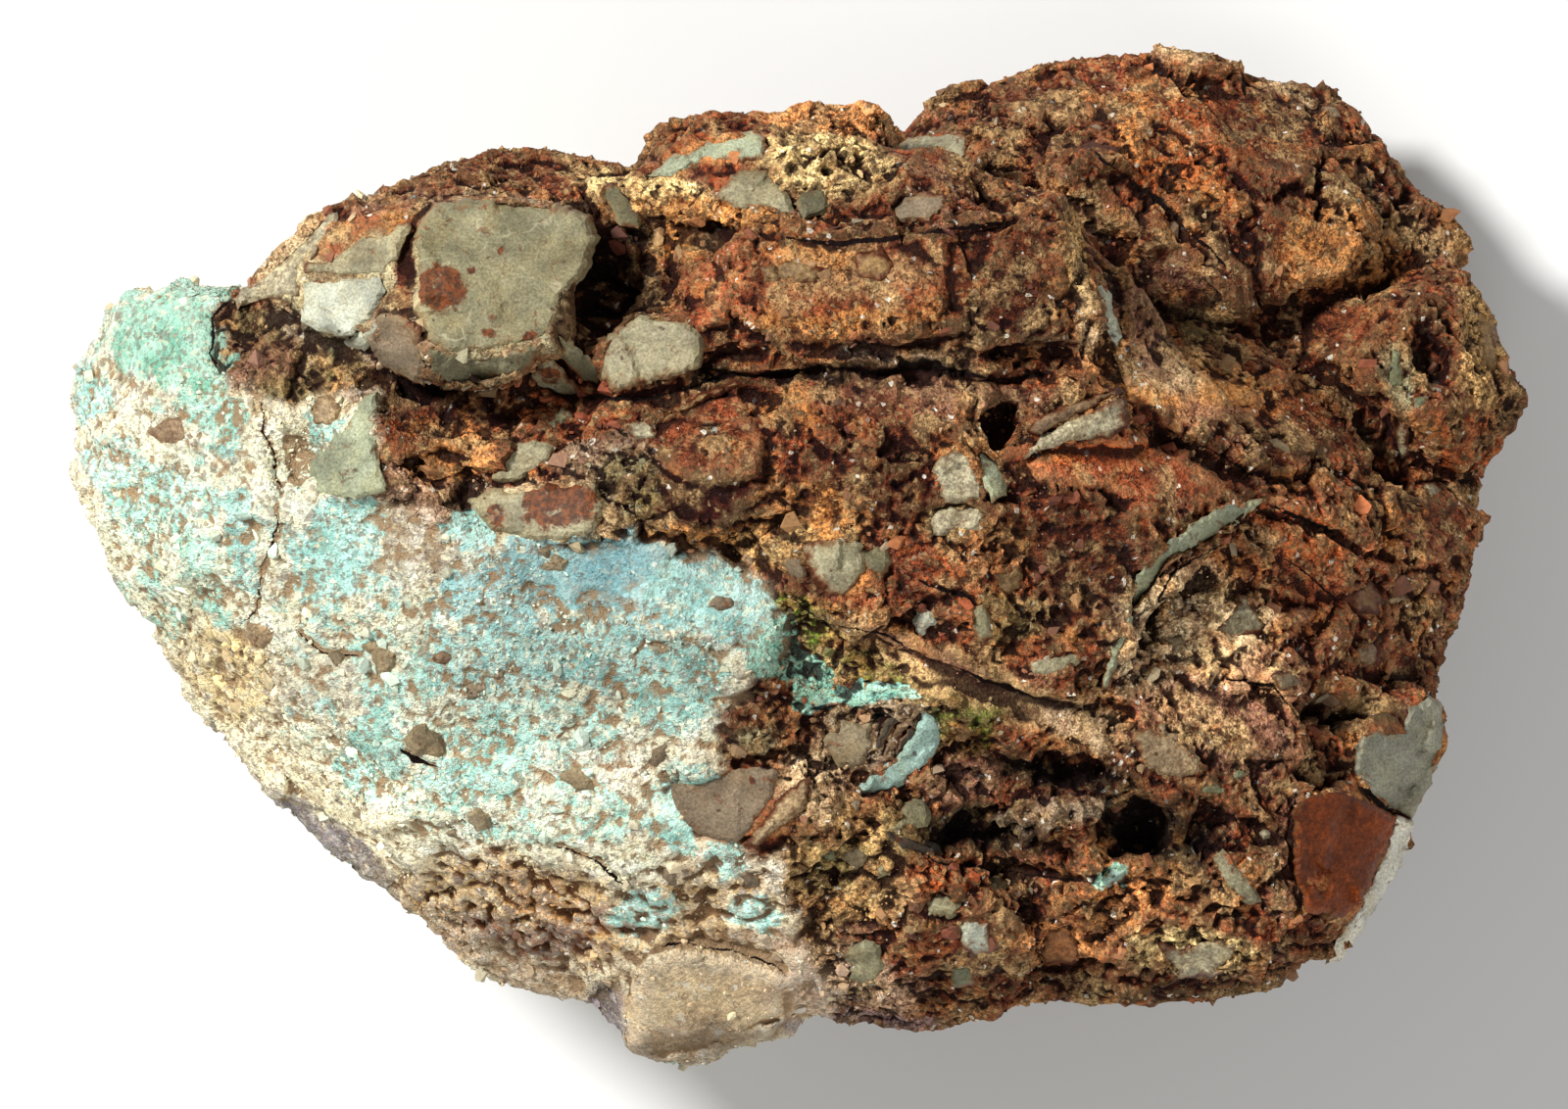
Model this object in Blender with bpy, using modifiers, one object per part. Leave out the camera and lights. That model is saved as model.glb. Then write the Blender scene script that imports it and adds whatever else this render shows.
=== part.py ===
"""A hand specimen of turquoise on chert breccia: one natural stone, lying on its back.

The stone is one solid. Angular blocks of rock, each the hull of its own corners, overlap and are
fused with the fragments that stand out of them, hollowed where the rock has pockets and clefts,
weathered with noise, and worn flat where the stone rests. X runs along the stone, Y across it,
Z up. Corners are in millimetres, from the middle of the showing face and up from the resting plane.
"""

import math
import random

import bmesh
import bpy
from mathutils import Euler, Matrix, Vector, noise
from mathutils.bvhtree import BVHTree

MM = 0.001
STONE_NAME = "turquoise_stone"

# Driving dimensions of the whole stone, in millimetres.
FUSE_VOXEL = 0.8
MOST_TRIANGLES = 9400
FLAT_WITHIN = 0.12
SOFTENING = 0.5
LENS_LUMPS = 0.32
LENS_LUMP_FREQUENCY = 2.1
LEAST_BLOCK = 1.0
OUTSIDE_ALL = 90.0

# How the broken surface is roughened: wavelength and amplitude of each layer, in millimetres.
WEATHERING = [
    {"wavelength": 15.0, "amplitude": 0.70, "seed": 3.0},
    {"wavelength": 6.5, "amplitude": 0.55, "seed": 11.0},
    {"wavelength": 3.0, "amplitude": 0.30, "seed": 29.0},
]
WEAR_LEVEL = 0.45
WEAR_RIDGE = 1.6

# The body under the showing face, in lobes: each is the hull of its widest girth, of its foot on
# the resting plane and of the core points that all of them share.
CORE = [(-24, 10, -2.4), (-20, -8, -2.4), (22, 14, -2.4), (26, -10, -2.4), (-22, 4, 40), (20, -6, 38)]
SIDES = {
    "left_side": {
        "girth": [
            (-46.5, 20.2, 27), (-50.4, 19.3, 26), (-53.6, 15.9, 25), (-55.0, 11.2, 24),
            (-55.0, 5.9, 25), (-52.6, 0.9, 26), (-50.9, -3.9, 27), (-41.0, 18.6, 33),
        ],
        "foot": [(-41, 14, 3), (-43, 6, 1.5), (-39, -3, -1), (-32, -8, -2), (-34, 16, -1)],
    },
    "lower_left_side": {
        "girth": [
            (-50.4, -4.2, 27), (-46.8, -8.2, 27), (-45.4, -12.4, 26), (-42.2, -16.0, 26),
            (-40.1, -19.6, 25), (-36.3, -22.1, 25), (-32.9, -24.6, 26), (-29.6, -26.9, 27),
            (-26.9, -29.4, 27), (-23.9, -31.4, 26), (-20.4, -32.6, 25), (-16.8, -33.0, 26),
        ],
        "foot": [(-37, -7, -1), (-31, -13, -2), (-24, -18, -2.4), (-16, -22, -1), (-11, -25, -2)],
    },
    "lower_side": {
        "girth": [
            (-10.0, -33.4, 30), (0.2, -35.2, 27), (3.6, -35.0, 26), (7.0, -35.2, 26),
            (10.2, -36.0, 25), (13.8, -35.6, 25), (17.0, -34.8, 26), (20.0, -33.9, 27),
        ],
        "foot": [(-7, -25, -2), (4, -28, -2.4), (12, -26, -1), (20, -27, -2)],
    },
    "lower_right_side": {
        "girth": [
            (23.6, -33.0, 25), (28.6, -34.0, 24), (33.2, -33.8, 23), (38.6, -34.0, 24),
            (42.4, -31.8, 23), (44.0, -27.6, 21), (46.2, -23.8, 21), (47.6, -20.0, 22),
            (49.8, -16.0, 22), (51.2, -12.2, 21),
        ],
        "foot": [(23, -27, -2), (32, -26, -1), (38, -20, -2), (41, -12, -2.4), (42, -5, -1)],
    },
    "right_side": {
        "girth": [
            (51.0, -8.0, 19), (52.6, -3.9, 18), (54.8, 0.5, 16), (54.4, 5.0, 14),
            (40.0, 8.0, 27), (38.0, -8.0, 33),
        ],
        "foot": [(43, -6, -1), (46, 1, -2), (45, 9, -2)],
    },
    "rear_right_side": {
        "girth": [
            (55.4, 9.8, 12), (55.0, 14.6, 13), (54.0, 18.8, 14), (51.0, 22.6, 12),
            (48.4, 26.4, 10), (44.0, 14.0, 22),
        ],
        "foot": [(48, 6, -2), (49, 14, -1), (45, 20, -2.4)],
    },
    "rear_side": {
        "girth": [
            (45.8, 30.0, 9), (44.2, 34.2, 9), (39.6, 35.8, 10), (35.0, 37.2, 10),
            (30.8, 38.4, 10), (26.2, 38.5, 10), (21.4, 37.2, 9), (17.0, 36.0, 10),
            (13.4, 35.5, 11), (30.0, 26.0, 20), (16.0, 28.0, 21),
        ],
        "foot": [(41, 25, -2), (38, 30, -1), (29, 33, -2.4), (20, 31, -2), (12, 29, -1)],
    },
    "upper_side": {
        "girth": [
            (9.2, 33.4, 22), (6.4, 34.2, 25), (3.4, 34.2, 27), (0.6, 34.0, 28), (-2.4, 33.6, 29),
            (-5.4, 33.1, 30), (-8.2, 32.6, 31), (-10.8, 31.4, 32),
        ],
        "foot": [(8, 28, -2), (-2, 26, -1), (-10, 24, -2.4)],
    },
    "upper_left_side": {
        "girth": [
            (-13.8, 29.9, 32), (-17.3, 29.7, 30), (-21.8, 30.1, 29), (-25.8, 29.3, 29),
            (-29.5, 27.8, 30), (-34.8, 26.8, 31), (-37.9, 24.1, 32), (-40.6, 20.8, 33),
        ],
        "foot": [(-12, 24, -2), (-20, 22, -1), (-28, 18, -2), (-33, 14, -2)],
    },
}

# Each block: its upper corners, and the height its lower ones go down to, drawn in on the way.
BLOCKS = {
    # The pale, altered end with the turquoise.
    "left_lobe": {
        "corners": [
            (-49.0, 16.0, 39), (-44.0, 17.5, 42), (-40.0, 11.0, 45.5), (-44.5, 7.5, 45),
            (-50.5, 10.0, 39), (-56.7, 12.4, 28), (-54.6, 16.2, 29), (-51.8, 20.2, 31),
            (-46.5, 21.0, 36), (-43.4, 20.5, 37), (-56.4, 6.2, 29), (-53.2, 0.8, 30),
            (-51.4, -4.0, 30), (-46.0, -2.0, 43), (-38.0, 2.0, 47),
        ],
        "down_to": 20, "draw_in": 0.90,
    },
    "green_hollow": {
        "corners": [
            (-44.0, 20.0, 38), (-40.0, 20.5, 41), (-33.0, 16.5, 46), (-28.0, 13.0, 47),
            (-30.0, 9.5, 48), (-38.0, 9.0, 47.5), (-42.5, 13.0, 46),
        ],
        "down_to": 24, "draw_in": 0.95,
    },
    "turquoise_slope": {
        "corners": [
            (-40.5, 4.0, 47), (-28.0, 4.5, 51), (-22.0, 1.5, 52.5), (-12.0, 0.0, 54),
            (-2.0, -3.0, 53.5), (-1.0, -9.0, 52), (-8.0, -18.0, 49.5), (-5.0, -25.0, 46),
            (-13.0, -25.5, 45.5), (-25.0, -19.0, 46), (-31.0, -14.0, 46), (-38.0, -9.5, 43.5),
            (-44.0, -4.0, 41), (-50.8, -4.4, 30), (-47.3, -8.5, 29), (-45.8, -12.6, 28),
            (-42.6, -16.4, 28), (-40.4, -20.0, 28), (-36.6, -22.7, 28), (-33.2, -25.2, 28),
        ],
        "down_to": 18, "draw_in": 0.94,
    },
    "lower_rim": {
        "corners": [
            (-33.0, -19.0, 42), (-22.0, -20.5, 45), (-10.0, -26.0, 46), (-4.0, -29.5, 43),
            (-27.1, -30.2, 28), (-24.0, -32.4, 28), (-20.3, -34.1, 28), (-16.4, -34.9, 29),
            (-8.0, -33.0, 34), (-29.8, -27.8, 28),
        ],
        "down_to": 18, "draw_in": 0.94,
    },
    "toe": {
        "corners": [
            (-15.8, -34.0, 33), (-12.0, -30.6, 41), (-8.5, -29.6, 42.5), (-3.5, -31.0, 42),
            (0.5, -33.0, 39), (1.8, -34.9, 36), (0.6, -37.7, 34), (-6.0, -39.5, 32),
            (-11.2, -39.3, 31), (-13.8, -37.2, 31), (-10.0, -34.5, 40),
        ],
        "down_to": 18, "draw_in": 0.82,
    },
    # The big chert fragments of the upper left.
    "chert_mass": {
        "corners": [
            (-42.0, 20.8, 41), (-36.4, 25.4, 44), (-35.0, 26.6, 44), (-24.0, 27.0, 49.5),
            (-16.6, 26.0, 52), (-15.4, 20.0, 54), (-17.0, 15.8, 56), (-22.0, 12.6, 56.5),
            (-26.5, 12.8, 55.5), (-29.5, 15.0, 54), (-35.5, 17.5, 50),
        ],
        "down_to": 33, "draw_in": 0.92,
    },
    "second_chert": {
        "corners": [
            (-15.4, 15.6, 51.5), (-11.8, 17.9, 53), (-7.2, 17.4, 53.5), (-6.3, 14.6, 54),
            (-8.8, 12.4, 54), (-14.2, 11.8, 52),
        ],
        "down_to": 38, "draw_in": 0.95,
    },
    "left_grey_wedge": {
        "corners": [
            (-35.0, 9.5, 48.5), (-31.5, 12.0, 50), (-30.0, 11.0, 51), (-29.5, 4.8, 51.5),
            (-36.0, 4.4, 49.5),
        ],
        "down_to": 38, "draw_in": 1.0,
    },
    # The iron-stained front of the stone.
    "core": {
        "corners": [
            (-44.0, 12.0, 38), (-46.0, -2.0, 37), (-38.0, 6.0, 44.5), (-32.0, 19.0, 44),
            (-14.0, 27.0, 45), (10.0, 29.0, 45), (20.8, 27.5, 46.5), (22.0, 12.0, 48.5),
            (34.0, 3.6, 42), (41.0, 1.0, 35), (44.0, -13.0, 33), (39.0, -25.0, 37),
            (38.0, -33.6, 33), (24.0, -33.4, 34), (11.4, -35.6, 35), (-2.0, -34.0, 38),
            (-14.0, -27.0, 42), (-28.0, 8.0, 47), (-12.0, 8.0, 51.5), (6.0, 14.0, 51.5),
            (-4.0, -4.0, 51.5), (8.0, -6.0, 50.5), (0.0, -14.0, 49), (23.0, -9.0, 46),
            (28.0, -20.0, 43.5),
        ],
        "down_to": 20, "draw_in": 0.94,
    },
    "upper_plate": {
        "corners": [
            (-8.0, 21.0, 52), (-3.0, 24.0, 53.0), (5.0, 23.6, 54), (14.0, 25.4, 53),
            (20.8, 26.6, 50.5), (23.2, 20.0, 51), (23.2, 14.2, 52), (14.0, 14.4, 54),
            (4.0, 14.9, 55), (-4.0, 14.4, 54), (-7.8, 16.2, 53),
        ],
        "down_to": 36, "draw_in": 0.99,
    },
    "lower_plate": {
        "corners": [
            (-5.4, 12.8, 53), (4.0, 13.0, 54.5), (14.0, 12.4, 53.5), (22.6, 12.2, 51.5),
            (25.0, 12.4, 50), (25.6, 9.0, 50), (19.0, 7.6, 52.5), (8.0, 6.0, 55.5),
            (-2.6, 3.4, 56.5), (-5.0, 7.0, 55),
        ],
        "down_to": 36, "draw_in": 0.97,
    },
    "middle_left": {
        "corners": [
            (-30.6, 8.6, 48), (-21.0, 9.0, 49.5), (-10.4, 9.6, 53), (-4.0, 12.0, 53.5),
            (-2.4, 3.0, 56.8), (-8.8, 0.8, 57), (-15.0, 3.0, 54.5), (-22.5, 4.5, 52.5),
        ],
        "down_to": 38, "draw_in": 0.96,
    },
    "middle_right": {
        "corners": [
            (-1.4, 4.4, 56), (7.0, 5.6, 55.5), (17.0, 7.0, 53.5), (17.0, 0.0, 53),
            (16.0, -8.4, 51), (8.0, -7.8, 52.5), (0.0, -4.4, 54.0),
        ],
        "down_to": 38, "draw_in": 0.98,
    },
    "front_slab": {
        "corners": [
            (17.4, 8.0, 53), (25.6, 9.0, 50), (31.0, 7.4, 47), (35.8, 4.2, 45),
            (32.6, 0.4, 46.5), (27.6, -2.0, 49.5), (25.2, -7.4, 48.5), (23.2, -11.4, 47),
            (17.6, -9.0, 51),
        ],
        "down_to": 38, "draw_in": 0.88,
    },
    "diagonal_band": {
        "corners": [
            (2.6, -5.6, 51.5), (8.2, -6.8, 52), (17.0, -10.4, 50.5), (24.4, -13.8, 47.5),
            (24.0, -16.6, 47), (15.0, -14.6, 49.5), (6.2, -10.4, 51),
        ],
        "down_to": 40, "draw_in": 0.97,
    },
    # The lower front, a coarse rubble of small fragments.
    "lower_front": {
        "corners": [
            (-9.0, -16.4, 50.5), (0.0, -16.4, 50.5), (8.0, -19.0, 49), (11.0, -26.0, 47),
            (19.0, -30.0, 44), (19.0, -34.6, 36), (13.8, -36.5, 35), (9.6, -36.9, 35), (3.8, -36.2, 35),
            (-2.0, -33.4, 40), (-6.0, -26.0, 46),
        ],
        "down_to": 22, "draw_in": 0.97,
    },
    "lower_right": {
        "corners": [
            (25.0, -10.0, 45.5), (30.0, -5.0, 42), (36.4, -4.0, 40), (39.6, -12.0, 39.5),
            (39.8, -17.8, 40), (38.6, -29.0, 40), (38.4, -34.0, 33), (31.0, -34.7, 34),
            (24.0, -33.6, 36), (20.0, -28.0, 44), (24.0, -18.0, 46.5),
        ],
        "down_to": 20, "draw_in": 0.96,
    },
    "corner_block": {
        "corners": [
            (39.2, -18.0, 40.5), (42.6, -17.4, 38.5), (46.0, -20.6, 35), (42.0, -30.0, 36),
            (38.8, -31.0, 38.5), (47.6, -22.0, 31), (44.6, -29.4, 29), (42.0, -31.6, 29),
            (35.0, -24.0, 39),
        ],
        "down_to": 17, "draw_in": 0.90,
    },
    "grey_block": {
        "corners": [
            (43.6, -14.0, 35), (46.6, -12.0, 33), (51.2, -11.8, 27.5), (50.8, -15.7, 27.5),
            (48.2, -20.2, 28.5), (44.6, -18.4, 35),
        ],
        "down_to": 16, "draw_in": 0.94,
    },
    # The far side, which falls away behind the front.
    "right_slope": {
        "corners": [
            (34.6, 5.0, 39), (41.0, 6.0, 34), (47.0, 5.0, 28), (54.9, 3.0, 19),
            (54.6, -1.4, 18), (52.2, -6.6, 20), (51.6, -9.2, 21), (50.0, -12.6, 24),
            (42.6, -13.0, 33), (37.6, -4.0, 37.5),
        ],
        "down_to": 13, "draw_in": 0.95,
    },
    "saddle": {
        "corners": [
            (24.0, 14.4, 33), (27.0, 19.0, 24), (37.0, 15.6, 25), (46.0, 8.0, 27.5),
            (42.0, 3.0, 34), (34.0, 6.0, 38), (26.0, 8.6, 38),
        ],
        "down_to": 10, "draw_in": 0.95,
    },
    "shoulder": {
        "corners": [
            (45.6, 20.0, 23), (52.4, 22.3, 16), (55.2, 19.4, 15), (56.2, 14.9, 14),
            (56.9, 10.0, 13), (54.8, 5.4, 16), (48.8, 9.6, 27), (42.0, 16.4, 25),
            (53.2, 18.0, 22.5), (54.8, 9.4, 20),
        ],
        "down_to": 8, "draw_in": 0.93,
    },
    "rear_lobe": {
        "corners": [
            (9.8, 35.2, 14), (13.4, 37.0, 13), (17.2, 37.2, 13), (21.4, 38.7, 13),
            (26.2, 40.2, 13), (31.0, 39.7, 13), (35.4, 38.8, 13), (40.8, 37.6, 12),
            (45.6, 35.6, 11), (46.6, 30.6, 11), (49.4, 26.8, 12), (52.0, 23.0, 13),
            (28.6, 32.4, 22), (22.4, 30.0, 24), (38.0, 30.2, 21), (35.6, 20.0, 24),
            (44.0, 26.4, 20), (15.0, 32.6, 21), (14.0, 28.0, 24), (26.0, 20.0, 23),
        ],
        "down_to": 6, "draw_in": 0.94,
    },
    "rear_rib": {
        "corners": [
            (21.0, 31.2, 26), (24.0, 31.6, 26), (35.8, 20.4, 26.5), (35.6, 18.0, 26),
            (27.0, 24.6, 28), (21.4, 28.6, 28),
        ],
        "down_to": 18, "draw_in": 0.95,
    },
    # The upper edge, between the showing face and the back.
    "top_rim": {
        "corners": [
            (-34.6, 27.0, 40), (-29.6, 28.4, 38), (-25.8, 30.2, 37), (-21.6, 31.3, 36),
            (-17.0, 29.9, 36), (-13.2, 30.0, 38), (-13.0, 27.0, 46), (-24.0, 26.8, 47),
        ],
        "down_to": 26, "draw_in": 0.95,
    },
    "top_ledge": {
        "corners": [
            (-11.0, 31.6, 42), (-8.2, 32.6, 42), (-2.6, 33.0, 41), (6.4, 31.4, 44),
            (12.6, 29.8, 44), (14.4, 28.6, 47), (13.4, 26.6, 49.5), (7.0, 24.6, 50.5),
            (-3.4, 25.2, 50), (-12.4, 26.2, 47), (-0.4, 30.4, 47.5), (6.0, 29.6, 47.5),
        ],
        "down_to": 26, "draw_in": 0.94,
    },
    "back_knob": {
        "corners": [
            (-2.8, 33.4, 38), (1.8, 34.7, 36), (6.2, 34.9, 35), (8.6, 33.2, 35),
            (7.4, 29.6, 40), (-2.0, 30.0, 42),
        ],
        "down_to": 24, "draw_in": 0.94,
    },
    "thin_sliver": {
        "corners": [
            (23.2, 20.6, 40), (23.9, 20.4, 40), (26.0, 15.4, 36), (25.0, 15.0, 36),
        ],
        "down_to": 22, "draw_in": 1.0,
    },
}

# Fragments that stand out of the blocks: middle, half-sizes and turn about Z, in millimetres and
# degrees.
FRAGMENTS = {
    "smooth_clast": {"at": (-4.9, -19.0, 48.4), "half": (4.8, 3.2, 3.4), "turn": -8},
    "chert_finger": {"at": (22.0, 10.4, 49.8), "half": (3.6, 1.9, 3.6), "turn": 14},
    "pale_clast": {"at": (14.4, 5.2, 52.6), "half": (2.8, 3.9, 3.4), "turn": 8},
    "spotted_clast": {"at": (-17.4, 3.4, 52.4), "half": (5.4, 2.5, 3.2), "turn": -4},
    "triangle_block": {"at": (-6.2, 6.6, 55.2), "half": (4.6, 4.9, 3.2), "turn": 20},
    "brown_block": {"at": (-27.2, 9.2, 49.2), "half": (3.9, 3.1, 3.2), "turn": 4},
    "cave_ridge": {"at": (19.6, -20.4, 46.0), "half": (5.8, 1.7, 3.4), "turn": 6},
    "ledge_chert": {"at": (-6.6, 30.0, 44.4), "half": (4.0, 2.6, 3.4), "turn": 8},
    "porous_lump": {"at": (2.6, 29.4, 45.8), "half": (5.2, 2.7, 3.6), "turn": -6},
    "pale_block": {"at": (10.6, 30.2, 43.4), "half": (3.0, 1.8, 3.2), "turn": 12},
    "grey_pebble": {"at": (6.2, -31.2, 40.6), "half": (1.6, 2.0, 2.6), "turn": 6},
    "tan_clast": {"at": (33.0, -4.6, 41.8), "half": (3.2, 1.9, 2.6), "turn": -34},
    "pale_flake": {"at": (28.4, -15.2, 44.6), "half": (3.4, 1.7, 2.2), "turn": -24},
    "cream_cluster": {"at": (30.0, -31.0, 38.2), "half": (5.0, 2.0, 2.8), "turn": -4},
    "corner_knob": {"at": (-30.2, 23.8, 47.0), "half": (3.0, 2.6, 2.6), "turn": -20},
    "slope_clast": {"at": (-27.6, -14.4, 46.2), "half": (2.2, 1.7, 1.7), "turn": -18},
    "edge_clast": {"at": (-50.0, -1.0, 34.0), "half": (2.6, 2.2, 3.0), "turn": 30},
    "rear_ledge": {"at": (23.4, 30.6, 26.0), "half": (3.2, 1.4, 2.0), "turn": 2},
    "rear_facet": {"at": (42.0, 24.0, 20.5), "half": (4.4, 3.2, 3.0), "turn": -40},
    "slope_ridge": {"at": (43.6, 1.0, 30.6), "half": (5.4, 2.4, 2.6), "turn": -38},
}

# Loose rubble grown into the surface: where it lies, how many pieces and their half-sizes in
# millimetres. Each patch on top is a circle; the ring goes round the sides, between two heights.
RUBBLE_ON_TOP = {
    "pale_end": {"middle": (-46, 8), "radius": 10, "count": 16, "half": (0.9, 2.0), "seed": 1},
    "slope": {"middle": (-26, -10), "radius": 17, "count": 22, "half": (0.9, 2.0), "seed": 2},
    "rim": {"middle": (-18, -28), "radius": 12, "count": 20, "half": (1.0, 2.2), "seed": 3},
    "lower_front": {"middle": (8, -26), "radius": 12, "count": 26, "half": (1.0, 2.3), "seed": 4},
    "lower_right": {"middle": (33, -20), "radius": 13, "count": 24, "half": (1.0, 2.4), "seed": 5},
    "right": {"middle": (45, -2), "radius": 11, "count": 24, "half": (1.2, 2.8), "seed": 6},
    "rear": {"middle": (34, 29), "radius": 14, "count": 30, "half": (1.3, 3.0), "seed": 7},
    "top": {"middle": (-10, 28), "radius": 16, "count": 16, "half": (1.0, 2.0), "seed": 8},
}
RUBBLE_RING = {"count": 80, "heights": (4, 30), "half": (2.2, 6.0), "seed": 9}
RUBBLE_SUNK = 0.42
RUBBLE_CORNERS = 11

# Width and thickness of a piece of rubble, as shares of its length.
CHIP_WIDTH = (0.6, 0.95)
CHIP_THICKNESS = (0.5, 0.8)

# Pockets and clefts: middle, half-sizes and turn about Z, in millimetres and degrees.
HOLLOWS = {
    "under_chert": {"at": (-24.5, 10.6, 51.0), "half": (7.0, 2.2, 3.6), "turn": -8},
    "dark_pocket": {"at": (-12.4, 21.6, 53.0), "half": (3.4, 4.6, 5.6), "turn": -28},
    "plate_gap": {"at": (6.0, 14.0, 55.5), "half": (13.0, 0.9, 3.0), "turn": 2},
    "plate_gap_right": {"at": (18.6, 13.8, 53.0), "half": (4.6, 2.0, 3.4), "turn": -6},
    "ledge_gap": {"at": (7.0, 25.2, 52.0), "half": (8.0, 0.9, 2.8), "turn": 4},
    "notch": {"at": (16.8, 10.2, 54.0), "half": (2.0, 2.2, 4.0), "turn": 30},
    "seam": {"at": (-9.0, 11.0, 55.2), "half": (8.0, 0.8, 3.0), "turn": 14},
    "band_cleft": {"at": (14.0, -8.4, 52.5), "half": (10.0, 0.9, 3.0), "turn": -27},
    "front_cave": {"at": (15.4, -22.6, 47.5), "half": (5.2, 1.7, 4.2), "turn": -6},
    "upper_cave": {"at": (20.0, -17.6, 48.5), "half": (6.0, 1.2, 3.8), "turn": -12},
    "right_cave": {"at": (26.4, -21.2, 46.5), "half": (3.4, 2.4, 4.4), "turn": 12},
    "slab_shade": {"at": (29.6, -3.4, 44.0), "half": (6.4, 1.8, 2.6), "turn": 38},
    "edge_cave": {"at": (42.0, -11.4, 37.0), "half": (3.9, 1.5, 3.6), "turn": -12},
    "edge_nook": {"at": (40.4, -16.6, 40.2), "half": (2.6, 1.2, 3.4), "turn": 14},
    "toe_cleft": {"at": (-4.8, -30.2, 43.8), "half": (7.0, 0.9, 3.2), "turn": -18},
    "lobe_cleft": {"at": (-42.9, 16.8, 44.5), "half": (0.8, 3.6, 3.2), "turn": 6},
    "rear_cleft": {"at": (29.6, 25.8, 28.5), "half": (8.0, 0.9, 5.4), "turn": -43},
    "rear_slot": {"at": (40.6, 29.0, 21.5), "half": (0.9, 3.6, 2.6), "turn": -16},
    "shoulder_slot": {"at": (50.6, 15.4, 24.0), "half": (1.4, 3.4, 3.6), "turn": -4},
    "block_foot": {"at": (24.8, 22.0, 30.0), "half": (1.3, 6.0, 7.0), "turn": 0},
    "top_notch": {"at": (9.8, 35.0, 30.0), "half": (1.5, 2.6, 14.0), "turn": 8},
    "under_pit_left": {"at": (-27.0, 4.0, -0.6), "half": (9.0, 6.0, 2.2), "turn": 24},
    "under_pit_front": {"at": (2.0, -20.0, -0.4), "half": (8.0, 5.0, 1.8), "turn": -12},
    "under_pit_right": {"at": (34.0, 2.0, -0.5), "half": (6.5, 9.0, 2.0), "turn": 18},
    "under_pit_rear": {"at": (6.0, 21.0, -0.6), "half": (10.0, 4.5, 2.0), "turn": 6},
    "side_pit_left": {"at": (-49.5, 6.0, 12.0), "half": (3.0, 4.0, 4.0), "turn": 0},
    "side_pit_front": {"at": (-30.0, -25.0, 12.0), "half": (6.0, 2.6, 3.4), "turn": -34},
    "side_pit_right": {"at": (50.0, -12.0, 10.0), "half": (3.0, 5.0, 3.6), "turn": 8},
    "side_pit_rear": {"at": (-6.0, 32.0, 15.0), "half": (8.0, 2.6, 4.0), "turn": 4},
}


def add_hull(shape, corners):
    """Adds the convex hull of the corners, in millimetres, to the shape."""
    verts = [shape.verts.new(Vector(corner) * MM) for corner in corners]
    hull = bmesh.ops.convex_hull(shape, input=verts, use_existing_faces=False)
    inner = {v for v in hull["geom_interior"] if isinstance(v, bmesh.types.BMVert)}
    bmesh.ops.delete(shape, geom=list(inner), context="VERTS")


def block_corners(block):
    """The block's upper corners and the lower ones below them, drawn in towards the stone's axis."""
    upper = block["corners"]
    inward, floor = block["draw_in"], block["down_to"]
    lower = [(x * inward, y * inward, min(z - LEAST_BLOCK, floor)) for x, y, z in upper]
    return upper + lower


def chip_corners(draw, middle, half, turn):
    """Corners of one angular fragment: points thrown on an ellipsoid, turned about Z."""
    turned = Matrix.Rotation(math.radians(turn), 3, "Z")
    corners = []
    for _ in range(RUBBLE_CORNERS):
        way = Vector((draw.uniform(-1, 1), draw.uniform(-1, 1), draw.uniform(-1, 1))).normalized()
        corners.append(middle + turned @ Vector(part * size for part, size in zip(way, half)))
    return corners


def mesh_object(name, shape):
    """An object for the finished bmesh, linked to the scene."""
    mesh = bpy.data.meshes.new(name)
    shape.to_mesh(mesh)
    shape.free()
    made = bpy.data.objects.new(name, mesh)
    bpy.context.scene.collection.objects.link(made)
    return made


def apply_modifiers(made):
    """Replaces the object's mesh by what its modifiers make of it."""
    graph = bpy.context.evaluated_depsgraph_get()
    result = bpy.data.meshes.new_from_object(made.evaluated_get(graph))
    made.modifiers.clear()
    made.data = result


def fuse(made):
    """Makes the overlapping bodies of the object one even, closed surface."""
    remesh = made.modifiers.new("fuse", "REMESH")
    remesh.mode = "VOXEL"
    remesh.voxel_size = FUSE_VOXEL * MM
    apply_modifiers(made)


def add_blocks(shape):
    """Adds the lobes of the body, the blocks on it and their named fragments to the shape."""
    for side in SIDES.values():
        add_hull(shape, CORE + side["girth"] + side["foot"])
    for block in BLOCKS.values():
        add_hull(shape, block_corners(block))
    for number, fragment in enumerate(FRAGMENTS.values()):
        draw = random.Random(number)
        middle = Vector(fragment["at"])
        add_hull(shape, chip_corners(draw, middle, fragment["half"], fragment["turn"]))


def add_rubble(shape):
    """Grows small angular pieces into the surface of the shape's bodies, on top and all round."""
    surface = BVHTree.FromBMesh(shape)
    for patch in RUBBLE_ON_TOP.values():
        draw = random.Random(patch["seed"])
        for _ in range(patch["count"]):
            reach = patch["radius"] * math.sqrt(draw.random())
            angle = draw.uniform(0, math.tau)
            above = Vector((
                patch["middle"][0] + reach * math.cos(angle),
                patch["middle"][1] + reach * math.sin(angle),
                OUTSIDE_ALL,
            ))
            add_chip_where_ray_lands(shape, surface, draw, above, Vector((0, 0, -1)), patch["half"])
    ring = RUBBLE_RING
    draw = random.Random(ring["seed"])
    for _ in range(ring["count"]):
        angle = draw.uniform(0, math.tau)
        outward = Vector((math.cos(angle), math.sin(angle), 0))
        beside = outward * OUTSIDE_ALL + Vector((0, 0, draw.uniform(*ring["heights"])))
        add_chip_where_ray_lands(shape, surface, draw, beside, -outward, ring["half"])


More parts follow.
